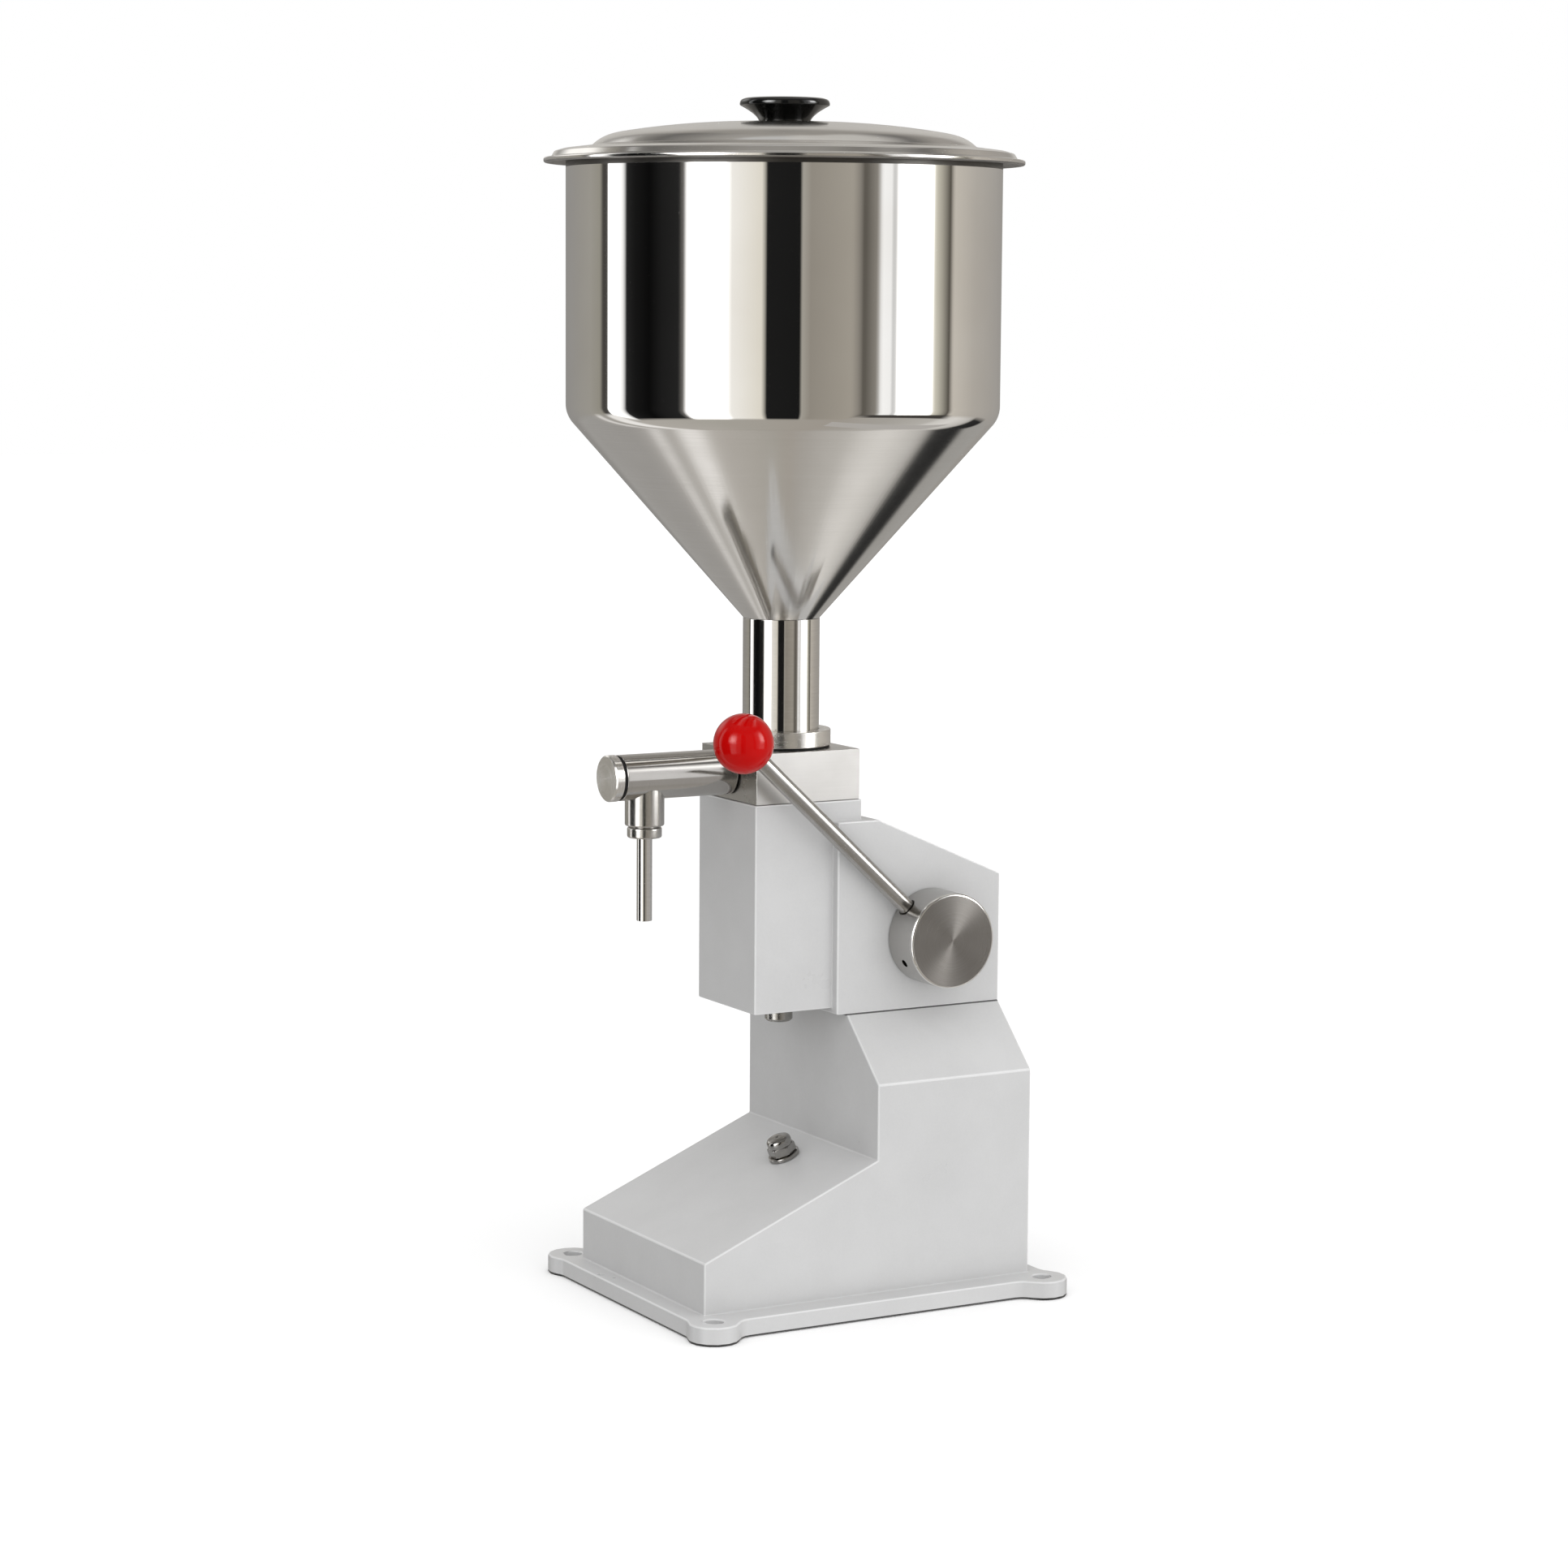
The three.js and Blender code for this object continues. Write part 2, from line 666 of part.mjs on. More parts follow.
const screwPlaces = [[1, -1], [-1, -1], [1, 1], [-1, 1]]
  .map(([a, b]) => [a * blockScrewPlace, b * blockScrewPlace]);

function upperHousing() {
  const cavityY = columnHalfY - columnWall;
  const columnRoom = box(-cavityHalf, cavityHalf, -cavityY, cavityY, columnFloorZ, ceilingZ);
  const roomHalf = housingHalfWidth - castWall;
  const rearBosses = [-1, 1].map((side) => {
    const [x0, x1] = [boltX - boltRadius, roomHalf + castWall / 2].map((x) => x * side);
    return box(Math.min(x0, x1), Math.max(x0, x1), pedestalRearY - castWall - 2 * boltInset,
      housingRearY - castWall / 2, pedestalTopZ, pedestalTopZ + bossRise);
  });
  const bushBosses = [-1, 1].map((side) => rod(
    bushBossRadius, Math.min(side * bushInnerX, side * (roomHalf + castWall / 2)),
    Math.max(side * bushInnerX, side * (roomHalf + castWall / 2)), roundSides,
    shifted(0, shaftSetback, shaftZ).multiply(towardsX)));
  const shell = joined(without(housingOuter(), columnRoom, housingHollow()), ...rearBosses, ...bushBosses);
  const bushBore = rod(bushRadius + fitGap, -housingHalfWidth - overrun, housingHalfWidth + overrun,
    roundSides, shifted(0, shaftSetback, shaftZ).multiply(towardsX));
  const boltHoles = boltPlaces.map(([x, y]) => rod(
    boltRadius + fitGap, pedestalTopZ - overrun, pedestalTopZ + boltReach, smallSides, shifted(x, y, 0)));
  const screwHoles = screwPlaces.map(([x, y]) => rod(
    blockScrewRadius + jointGap, ceilingZ - overrun, columnTopZ + overrun, smallSides, shifted(x, y, 0)));
  return without(shell, bushBore, ...boltHoles, ...screwHoles,
    rod(guideBushRadius + fitGap, columnBottomZ - overrun, columnFloorZ + overrun),
    rod(sleeveRadius + jointGap, ceilingZ - overrun, columnTopZ + overrun, fineSides),
    rod(flangeRadius + jointGap, columnTopZ - sleeveFlangeThickness, columnTopZ + overrun, fineSides));
}

function rodGuideBush() {
  return ring(rodEndRadius + fitGap, guideBushRadius, columnBottomZ + seatGap, columnFloorZ + seatGap);
}

function shaftBush() {
  return ring(shaftRadius + fitGap, bushRadius, bushInnerX, housingHalfWidth, roundSides, towardsX);
}

// Pump cylinder

function cylinderSleeve() {
  const flangeTopZ = columnTopZ - seatGap;
  return turned([
    [boreRadius, sleeveBottomZ],
    [sleeveRadius, sleeveBottomZ],
    [sleeveRadius, columnTopZ - sleeveFlangeThickness + seatGap],
    [flangeRadius, columnTopZ - sleeveFlangeThickness + seatGap],
    [flangeRadius, flangeTopZ],
    [sleeveRadius, flangeTopZ],
    [sleeveRadius, sleeveTopZ],
    [boreRadius, sleeveTopZ],
  ], fineSides);
}

function cylinderSeal() {
  return ring(boreRadius + seatGap, sleeveRadius, sealBottomZ, sealBottomZ + sealThickness, fineSides);
}

function blockScrew([x, y]) {
  const headTopZ = ceilingZ - seatGap;
  const place = shifted(x, y, 0);
  const head = rod(blockScrewHeadRadius, headTopZ - blockScrewHeadHeight, headTopZ, smallSides, place);
  const shank = rod(
    blockScrewRadius, headTopZ - seatGap, columnTopZ + blockScrewReach - jointGap, smallSides, place);
  const socket = rod(blockScrewSocketRadius, headTopZ - blockScrewHeadHeight - overrun,
    headTopZ - blockScrewHeadHeight / 2, hexSides, place);
  return head.add(shank).subtract(socket);
}

// Valve block and suction valve

function valveBlock() {
  const body = box(-blockHalfX, blockHalfX, -blockHalfY, blockHalfY, blockBottomZ, blockTopZ);
  const chamber = rod(inletBallRadius + inletFlowGap, recessTopZ - overrun, inletSeatZ + overrun);
  const sleeveRecess = rod(sleeveRadius + jointGap, blockBottomZ - overrun, recessTopZ, fineSides);
  const seatRecess = rod(inletSeatRadius + fitGap, inletSeatZ, blockTopZ + overrun, fineSides);
  const tubeRecess = rod(spigotRadius + jointGap, tubeShoulderT - spigotLength - jointGap,
    blockHalfY + overrun, roundSides, forwardAt(tubeZ));
  const port = rod(outletPortRadius, 0, blockHalfY, smallSides, forwardAt(tubeZ));
  const screwHoles = screwPlaces.map(([x, y]) => rod(
    blockScrewRadius + fitGap, blockBottomZ - overrun, columnTopZ + blockScrewReach,
    smallSides, shifted(x, y, 0)));
  return without(body, chamber, sleeveRecess, seatRecess, tubeRecess, port, ...screwHoles);
}

function inletBallCage() {
  const inner = inletBallRadius + inletFlowGap;
  const barEnd = (inner + sleeveRadius) / 2;
  const halfBar = cageBarWidth / 2;
  return joined(
    ring(inner, sleeveRadius, cageBottomZ, cageBottomZ + cageThickness, fineSides),
    box(-barEnd, barEnd, -halfBar, halfBar,
      cageBarTopZ - cageBarHeight, cageBarTopZ));
}

function inletSeat() {
  return turned([
    [inletHoleRadius, inletSeatZ + seatGap],
    [inletSeatRadius, inletSeatZ + seatGap],
    [inletSeatRadius, blockTopZ],
    [inletFunnelRadius, blockTopZ],
    [inletHoleRadius, inletSeatZ + inletSeatThickness / 2],
  ], fineSides);
}

function ballSolid(radius) {
  return toSolid(new THREE.SphereGeometry(radius, smallSides, smallSides / 2));
}

// Hopper and lid

const collarRadius = neckRadius + jointGap + collarWall;

function neckCollar() {
  return ring(neckRadius + jointGap, collarRadius, collarBottomZ, collarBottomZ + collarHeight, fineSides);
}

function hopperGasket() {
  return ring(inletFunnelRadius + overrun, collarRadius - gasketInset,
    gasketBottomZ, gasketBottomZ + gasketThickness, fineSides);
}

function hopperNeck() {
  return ring(neckRadius - neckWall, neckRadius, collarBottomZ, neckTopZ, fineSides);
}

// The bowl's outline, moved inwards by a wall: cone, rounded corner, upright side
function bowlLine(inset) {
  const lean = Math.atan2(bowlRadius - neckRadius, coneHeight);
  const foot = [neckRadius - inset / Math.cos(lean), coneBottomZ];
  const bend = arc(
    bowlRadius - cornerFillet, bowlCornerZ + cornerFillet * Math.tan(lean / 2),
    cornerFillet - inset, -lean, 0, filletSteps);
  return { foot, bend };
}

function hopperBowl() {
  const outer = bowlLine(0);
  const inner = bowlLine(hopperWall);
  const bead = arc(bowlRadius, rimTopZ - rimBead, rimBead, -Math.PI / 2, Math.PI / 2, filletSteps);
  return turned([
    outer.foot,
    ...outer.bend,
    ...bead,
    [bowlRadius - hopperWall, rimTopZ],
    ...inner.bend.reverse(),
    inner.foot,
  ], bowlSides);
}

function lidSolid() {
  const domeRun = bowlRadius - lidDomeReach - lidSeatRadius;
  const dome = Array.from({ length: filletSteps + 1 }, (_, i) => {
    const share = 1 - i / filletSteps;
    return [lidSeatRadius + domeRun * share, lidCrownZ - (lidCrownRise - lidDomeRise) * share ** 2];
  });
  const top = [
    [bowlRadius + lidLipReach, rimTopZ - lidLipDrop],
    [bowlRadius + lidFlangeReach, rimTopZ + lidFlangeRise],
    [bowlRadius - lidStepReach, rimTopZ + lidStepRise],
    [bowlRadius - lidShoulderReach, rimTopZ + lidShoulderRise],
    ...dome,
    [0, lidCrownZ],
  ];
  const under = top.map(([r, z]) => [r, z - lidWall]).reverse();
  const hole = rod(
    knobScrewRadius + jointGap, lidCrownZ - lidWall - overrun, lidCrownZ + overrun, smallSides);
  return turned([...under, ...top], bowlSides).subtract(hole);
}

const knobBottomZ = lidCrownZ + seatGap;
const knobTopZ = knobBottomZ + knobHeight;

function lidKnob() {
  const flareTop = knobTopZ - knobCrown - knobLipThickness;
  const flareHeight = flareTop - knobBottomZ;
  const flareReach = knobLipRadius - knobBaseRadius;
  const flare = Array.from({ length: filletSteps + 1 }, (_, i) => {
    const share = i / filletSteps;
    return [knobBaseRadius + flareReach * share ** knobFlarePower, knobBottomZ + flareHeight * share];
  });
  const hole = rod(
    knobScrewRadius + fitGap, knobBottomZ - overrun, knobBottomZ + knobScrewReach, smallSides);
  return turned([
    [0, knobBottomZ],
    ...flare,
    [knobLipRadius, knobTopZ - knobCrown],
    [knobLipRadius - knobLipThickness / 2, knobTopZ - knobCrown / 2],
    [0, knobTopZ],
  ], roundSides).subtract(hole);
}

function lidKnobScrew() {
  const headTopZ = lidCrownZ - lidWall - seatGap;
  return turned([
    [0, headTopZ - knobScrewHeadHeight],
    [knobScrewHeadRadius, headTopZ - knobScrewHeadHeight],
    [knobScrewHeadRadius, headTopZ],
    [knobScrewRadius, headTopZ],
    [knobScrewRadius, knobBottomZ + knobScrewReach - jointGap],
    [0, knobBottomZ + knobScrewReach - jointGap],
  ], smallSides);
}

// Discharge tube and valve, along the tube's own axis

function tubeGasket() {
  const t0 = blockHalfY + seatGap;
  return ring(spigotRadius + jointGap, tubeRadius - gasketInset, t0, t0 + tubeGasketThickness, roundSides);
}

function dischargeTube() {
  const body = turned([
    [outletPortRadius, tubeShoulderT - spigotLength],
    [spigotRadius, tubeShoulderT - spigotLength],
    [spigotRadius, tubeShoulderT],
    [tubeRadius, tubeShoulderT],
    [tubeRadius, tubeEndT],
    [tubeBoreRadius, tubeEndT],
    [tubeBoreRadius, tubeBoreT],
    [outletPortRadius, tubeBoreT],
  ], fineSides);
  const drain = rod(nozzleRadius + fitGap, 0, tubeRadius + overrun, smallSides,
    shifted(0, 0, socketT).multiply(forward));
  return body.subtract(drain);
}

function outletSeat() {
  return ring(outletHoleRadius, tubeBoreRadius - seatGap, tubeBoreT + seatGap, outletSeatEndT, roundSides);
}

class Helix extends THREE.Curve {
  constructor(radius, t0, t1, turns) {
    super();
    Object.assign(this, { radius, t0, t1, turns });
  }

  getPoint(share, target = new THREE.Vector3()) {
    const angle = 2 * Math.PI * this.turns * share;
    return target.set(
      this.radius * Math.cos(angle),
      this.radius * Math.sin(angle),
      this.t0 + (this.t1 - this.t0) * share);
  }
}

function outletSpring() {
  const t0 = outletBallT + outletContact + springWireRadius + jointGap;
  const t1 = capHeadT - capSpigotLength + capPocketDepth - springWireRadius - jointGap;
  const section = new THREE.Shape(arc(0, 0, springWireRadius, 0, 2 * Math.PI, wireSides)
    .slice(1).map(([x, y]) => new THREE.Vector2(x, y)));
  return toSolid(new THREE.ExtrudeGeometry(section, {
    steps: springTurns * springStepsPerTurn,
    bevelEnabled: false,
    extrudePath: new Helix(springRadius, t0, t1, springTurns),
  }));
}

function endCap() {
  const faceT = capHeadT + capHead;
  const spigotT = capHeadT - capSpigotLength;
  return turned([
    [0, spigotT + capPocketDepth],
    [capPocketRadius, spigotT + capPocketDepth],
    [capPocketRadius, spigotT],
    [tubeBoreRadius - seatGap, spigotT],
    [tubeBoreRadius - seatGap, capHeadT],
    [capRadius, capHeadT],
    [capRadius, faceT - capChamfer],
    [capRadius - capChamfer, faceT],
    [0, faceT],
  ], fineSides);
}

function endCapSeal() {
  return ring(tubeBoreRadius + seatGap, tubeRadius - capSealInset,
    capSealT, capSealT + capSealThickness, fineSides);
}

// Outlet socket and nozzle

const nozzlePlace = shifted(0, -socketT, 0);

function outletSocket() {
  const body = turned([
    [0, socketBottomZ],
    [socketRadius - socketChamfer, socketBottomZ],
    [socketRadius, socketBottomZ + socketChamfer],
    [socketRadius, tubeZ],
    [0, tubeZ],
  ], fineSides, nozzlePlace);
  const saddle = rod(tubeRadius + fitGap, socketT - 2 * socketRadius, socketT + 2 * socketRadius,
    fineSides, forwardAt(tubeZ));
  return without(body, saddle,
    rod(nutThreadRadius + fitGap, socketBottomZ - overrun, socketStepZ, roundSides, nozzlePlace),
    rod(nozzleRadius + fitGap, socketStepZ - overrun, tubeZ + overrun, smallSides, nozzlePlace));
}

function nozzleNut() {
  return turned([
    [nozzleRadius + fitGap, nutBottomZ],
    [nutRadius - nutEdge, nutBottomZ],
    [nutRadius, nutBottomZ + nutEdge],
    [nutRadius, nutTopZ - nutEdge],
    [nutRadius - nutEdge, nutTopZ],
    [nutThreadRadius, nutTopZ],
    [nutThreadRadius, nutTopZ + nutThreadLength],
    [nozzleRadius + fitGap, nutTopZ + nutThreadLength],
  ], roundSides, nozzlePlace);
}

function nozzleTube() {
  const flange = nozzleRadius + nozzleFlangeRim;
  return turned([
    [nozzleBoreRadius, nutBottomZ - nozzleReach],
    [nozzleRadius, nutBottomZ - nozzleReach],
    [nozzleRadius, nozzleFlangeZ],
    [flange, nozzleFlangeZ],
    [flange, nozzleFlangeZ + nozzleFlangeThickness],
    [nozzleBoreRadius, nozzleFlangeZ + nozzleFlangeThickness],
  ], roundSides, nozzlePlace);
}

function nozzleSeal() {
  return ring(nozzleRadius, nozzleRadius + nozzleFlangeRim, nozzleSealZ,
    nozzleSealZ + nozzleSealThickness, roundSides, nozzlePlace);
}

// Shaft and swing arm, about the shaft axis

const shaftTailX = -housingHalfWidth - seatGap - shaftWasherThickness - seatGap - ringThickness - shaftTail;
const shaftHeadX = hubFrontX - hubFaceThickness - jointGap;
const ringX = -housingHalfWidth - seatGap - shaftWasherThickness - seatGap;
const keySeat = shaftRadius - keyHeight / 2;

function leverShaft() {
  const body = rod(shaftRadius, shaftTailX, shaftHeadX, roundSides, towardsX);
  const groove = ring(shaftRadius - ringGrooveDepth, shaftRadius + overrun,
    ringX - ringThickness - fitGap, ringX + fitGap, roundSides, towardsX);
  const keyWay = prismX([
    [-keyWidth / 2 - fitGap, keySeat],
    [keyWidth / 2 + fitGap, keySeat],
    [keyWidth / 2 + fitGap, shaftRadius + overrun],
    [-keyWidth / 2 - fitGap, shaftRadius + overrun],
  ], -keyLength / 2 - fitGap, keyLength / 2 + fitGap).rotate([THREE.MathUtils.radToDeg(-swing), 0, 0]);
  const flat = prismX([
    [-shaftRadius, shaftRadius - setScrewFlat],
    [shaftRadius, shaftRadius - setScrewFlat],
    [shaftRadius, shaftRadius + overrun],
    [-shaftRadius, shaftRadius + overrun],
  ], hubBackX, shaftHeadX + overrun)
    .rotate([THREE.MathUtils.radToDeg(Math.PI / 2 + setScrewTurn - leverRise), 0, 0]);
  return without(body, groove, keyWay, flat);
}

function shaftWasher() {
  return ring(shaftRadius + jointGap, shaftRadius + shaftWasherRim,
    ringX + seatGap, ringX + seatGap + shaftWasherThickness, roundSides, towardsX);
}

function shaftRetainingRing() {
  return ring(shaftRadius - ringGrooveDepth + fitGap, shaftRadius + ringRim,
    ringX - ringThickness, ringX, roundSides, towardsX);
}

function swingArm() {
  const lean = Math.asin((armHubRadius - armEyeRadius) / armReach);
  const outline = [
    ...arc(0, 0, armHubRadius, lean - Math.PI / 2, Math.PI / 2 - lean, arcSteps),
    ...arc(-armReach, 0, armEyeRadius, Math.PI / 2 - lean, 3 * Math.PI / 2 + lean, arcSteps),
  ];
  const forkHalf = yokeHalfWidth + yokeSideGap;
  const forkGap = box(-forkHalf, forkHalf, -armReach - 2 * armEyeRadius, -armWebLength,
    -2 * armHubRadius, 2 * armHubRadius);
  const keyWay = box(-keyLength, keyLength, -keyWidth / 2 - fitGap, keyWidth / 2 + fitGap,
    0, shaftRadius + keyHeight / 2 + fitGap);
  return without(
    prismX(outline, -armHalfWidth, armHalfWidth),
    forkGap,
    keyWay,
    rod(shaftRadius + fitGap, -armHalfWidth - overrun, armHalfWidth + overrun, roundSides, towardsX),
    rod(rollerPinRadius + fitGap, -armHalfWidth - overrun, armHalfWidth + overrun, smallSides,
      shifted(0, -armReach, 0).multiply(towardsX)));
}

function armKey() {
  return box(-keyLength / 2, keyLength / 2, -keyWidth / 2, keyWidth / 2,
    keySeat + fitGap, shaftRadius + keyHeight / 2 - fitGap);
}

function rollerPin() {
  return rod(rollerPinRadius, -armHalfWidth, armHalfWidth, smallSides,
    shifted(0, -armReach, 0).multiply(towardsX));
}

function armRoller() {
  const half = yokeHalfWidth - seatGap;
  return ring(rollerPinRadius + fitGap, rollerRadius, -half, half, smallSides,
    shifted(0, -armReach, 0).multiply(towardsX));
}

// Hand lever, along -Y of its own group

const leverHoleStart = shaftRadius + leverRodStop;

function leverHub() {
  const body = turned([
    [0, hubFrontX - hubFaceThickness],
    [shaftRadius + fitGap, hubFrontX - hubFaceThickness],
    [shaftRadius + fitGap, hubBackX],
    [hubRadius - hubChamfer / 2, hubBackX],
    [hubRadius, hubBackX + hubChamfer / 2],
    [hubRadius, hubFrontX - hubChamfer],
    [hubRadius - hubChamfer, hubFrontX],
    [0, hubFrontX],
  ], fineSides, towardsX);
  return without(
    body,
    rod(leverRodRadius + fitGap, leverHoleStart, hubRadius + overrun, roundSides, radial(leverX, 0)),
    rod(leverRodRadius + leverHoleRim, hubRadius - leverHoleSink, hubRadius + overrun,
      roundSides, radial(leverX, 0)),
    rod(setScrewRadius + fitGap, shaftRadius - overrun, hubRadius + overrun, smallSides,
      radial(setScrewX, setScrewTurn)));
}

function hubSetScrew() {
  const start = shaftRadius - setScrewFlat + jointGap;
  const place = radial(setScrewX, setScrewTurn);
  return without(
    rod(setScrewRadius, start, start + setScrewLength, smallSides, place),
    rod(setScrewSocketRadius, start + setScrewLength / 2, start + setScrewLength + overrun,
      hexSides, place));
}

function leverRod() {
  const end = leverLength - leverBallRadius * (1 - ballHoleShare);
  return rod(leverRodRadius, leverHoleStart + jointGap, end - jointGap, roundSides, radial(leverX, 0));
}

function leverBall() {
  const end = leverLength - leverBallRadius * (1 - ballHoleShare);
  const ball = new THREE.SphereGeometry(leverBallRadius, roundSides, smallSides);
  ball.translate(leverX, -leverLength, 0);
  return without(toSolid(ball),
    rod(leverRodRadius + fitGap, leverLength - 2 * leverBallRadius, end, roundSides, radial(leverX, 0)));
}

// Piston and rod

const rodEndZ = columnBottomZ - rodEndDrop;

function pistonRod() {
  const slotBack = rollerBackY + rollerPlay;
  const slotFront = -armOvershoot - rollerPlay;
  const yokeReach = Math.max(slotBack, -slotFront) + yokeWall;
  const body = joined(
    turned([
      [0, rodEndZ],
      [rodEndRadius - rodChamfer, rodEndZ],
      [rodEndRadius, rodEndZ + rodChamfer],
      [rodEndRadius, yokeZ - yokeHalfHeight + seatGap],
      [0, yokeZ - yokeHalfHeight + seatGap],
    ]),
    box(-yokeHalfWidth, yokeHalfWidth, -yokeReach, yokeReach,
      yokeZ - yokeHalfHeight, yokeZ + yokeHalfHeight),
    rod(rodNeckRadius, yokeZ + yokeHalfHeight - seatGap, pistonBottomZ - seatGap));
  return without(
    body,
    box(-yokeHalfWidth - overrun, yokeHalfWidth + overrun, slotFront, slotBack,
      yokeZ - rollerPlay, yokeZ + rollerPlay),
    rod(pistonScrewRadius + fitGap, pistonBottomZ - pistonScrewReach, pistonBottomZ + overrun, smallSides));
}

const pistonRadius = boreRadius - pistonClearance;
const sealBaseRadius = pistonRadius - pistonSealDepth;
const pistonSealZ = [
  pistonBottomZ + pistonSealInset,
  crownZ - pistonSealInset - pistonSealHeight,
];

function pistonHead() {
  const grooves = pistonSealZ.map((z) => ring(
    sealBaseRadius, boreRadius + overrun, z, z + pistonSealHeight, fineSides));
  return without(
    rod(pistonRadius, pistonBottomZ, crownZ, fineSides),
    ...grooves,
    rod(pistonScrewRadius + jointGap, pistonBottomZ - overrun, crownZ + overrun, smallSides),
    rod(pistonScrewHeadRadius + jointGap, crownZ - pistonScrewHeadHeight, crownZ + overrun, roundSides));
}

function pistonSeal(z) {
  return ring(sealBaseRadius + seatGap, boreRadius - ballPlay,
    z + ballPlay, z + pistonSealHeight - ballPlay, fineSides);
}

function pistonScrew() {
  const headTopZ = crownZ - seatGap;
  const headBottomZ = crownZ - pistonScrewHeadHeight + seatGap;
  const body = turned([
    [0, pistonBottomZ - pistonScrewReach + jointGap],
    [pistonScrewRadius, pistonBottomZ - pistonScrewReach + jointGap],
    [pistonScrewRadius, headBottomZ],
    [pistonScrewHeadRadius, headBottomZ],
    [pistonScrewHeadRadius, headTopZ],
    [0, headTopZ],
  ], smallSides);
  return body.subtract(rod(blockScrewSocketRadius, headBottomZ + pistonScrewHeadHeight / 3,
    crownZ + overrun, hexSides));
}

const cornerNames = ['front_right', 'front_left', 'rear_right', 'rear_left'];

addPiece('base_casting', baseCasting(), lightEnamel());
boltPlaces.forEach((place, i) => addPiece(`housing_bolt_${cornerNames[i]}`, housingBolt(place), darkSteel()));
addPiece('adjuster_washer', adjusterWasher(), satinSteel(), adjusterGroup);
addPiece('adjuster_stud', adjusterStud(), darkSteel(), adjusterGroup);
addPiece('adjuster_nut', adjusterNut(), satinSteel(), adjusterGroup);

addPiece('upper_housing', upperHousing(), lightEnamel());
addPiece('rod_guide_bush', rodGuideBush(), bronze());
addPiece('shaft_bush_right', shaftBush(), bronze(), swingGroup);
addPiece('shaft_bush_left', shaftBush().mirror([1, 0, 0]), bronze(), swingGroup);
screwPlaces.forEach((place, i) => addPiece(`block_screw_${cornerNames[i]}`, blockScrew(place), darkSteel()));
addPiece('cylinder_sleeve', cylinderSleeve(), satinSteel());
addPiece('cylinder_seal', cylinderSeal(), paleSealPlastic());

addPiece('valve_block', valveBlock(), satinSteel());
addPiece('inlet_ball_cage', inletBallCage(), satinSteel());
addPiece('inlet_ball', ballSolid(inletBallRadius).translate([0, 0, inletBallZ]), polishedSteel());
addPiece('inlet_seat', inletSeat(), paleSealPlastic());

addPiece('hopper_gasket', hopperGasket(), blackRubber());
addPiece('neck_collar', neckCollar(), satinSteel());
addPiece('hopper_neck', hopperNeck(), polishedSteel());
addPiece('hopper_bowl', hopperBowl(), polishedSteel());
addPiece('lid', lidSolid(), polishedSteel());
addPiece('lid_knob', lidKnob(), blackPlastic());
addPiece('lid_knob_screw', lidKnobScrew(), darkSteel());

addPiece('tube_gasket', tubeGasket(), blackRubber(), dischargeGroup);
addPiece('discharge_tube', dischargeTube(), satinSteel(), dischargeGroup);
addPiece('outlet_seat', outletSeat(), paleSealPlastic(), dischargeGroup);
addPiece('outlet_ball', ballSolid(outletBallRadius).translate([0, 0, outletBallT]),
  polishedSteel(), dischargeGroup);
addPiece('outlet_spring', outletSpring(), darkSteel(), dischargeGroup);
addPiece('end_cap', endCap(), satinSteel(), dischargeGroup);
addPiece('end_cap_seal', endCapSeal(), blackRubber(), dischargeGroup);
addPiece('outlet_socket', outletSocket(), satinSteel());
addPiece('nozzle_nut', nozzleNut(), satinSteel());
addPiece('nozzle_tube', nozzleTube(), polishedSteel());
addPiece('nozzle_seal', nozzleSeal(), paleSealPlastic());

addPiece('lever_shaft', leverShaft(), darkSteel(), swingGroup);
addPiece('shaft_washer', shaftWasher(), satinSteel(), swingGroup);
addPiece('shaft_retaining_ring', shaftRetainingRing(), darkSteel(), swingGroup);
addPiece('swing_arm', swingArm(), darkSteel(), armGroup);
addPiece('arm_key', armKey(), darkSteel(), armGroup);
addPiece('roller_pin', rollerPin(), darkSteel(), armGroup);
addPiece('arm_roller', armRoller(), bronze(), armGroup);
addPiece('lever_hub', leverHub(), satinSteel(), leverGroup);
addPiece('hub_set_screw', hubSetScrew(), darkSteel(), leverGroup);
addPiece('lever_rod', leverRod(), satinSteel(), leverGroup);
addPiece('lever_ball', leverBall(), redPlastic(), leverGroup);

addPiece('piston_rod', pistonRod(), satinSteel());
addPiece('piston_head', pistonHead(), satinSteel());
addPiece('piston_seal_lower', pistonSeal(pistonSealZ[0]), blackRubber());
addPiece('piston_seal_upper', pistonSeal(pistonSealZ[1]), blackRubber());
addPiece('piston_screw', pistonScrew(), darkSteel());

group.updateMatrixWorld(true);

export default group;
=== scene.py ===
"""Dressed view of a hand operated piston filling machine.

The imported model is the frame. The castings, the valve block and the piston rod keep their own shapes,
with their edges rounded. The turned steel, the ball, the knob, the stud's thread and the spring are
made again with fine surfaces. Sizes are in millimetres here and go into the meshes in metres.
"""

import json
import math

import bmesh
import bpy
from mathutils import Matrix, Vector
from mathutils.bvhtree import BVHTree


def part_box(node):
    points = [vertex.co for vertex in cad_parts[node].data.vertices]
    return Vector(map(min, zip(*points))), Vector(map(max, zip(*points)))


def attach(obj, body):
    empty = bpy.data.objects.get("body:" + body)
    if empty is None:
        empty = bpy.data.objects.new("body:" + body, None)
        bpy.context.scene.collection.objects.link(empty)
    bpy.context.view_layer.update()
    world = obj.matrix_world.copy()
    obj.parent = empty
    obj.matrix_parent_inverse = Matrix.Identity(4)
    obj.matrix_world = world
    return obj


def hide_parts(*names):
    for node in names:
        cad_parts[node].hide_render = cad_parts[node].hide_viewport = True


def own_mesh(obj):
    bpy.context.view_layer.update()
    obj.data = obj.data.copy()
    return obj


MM = 0.001

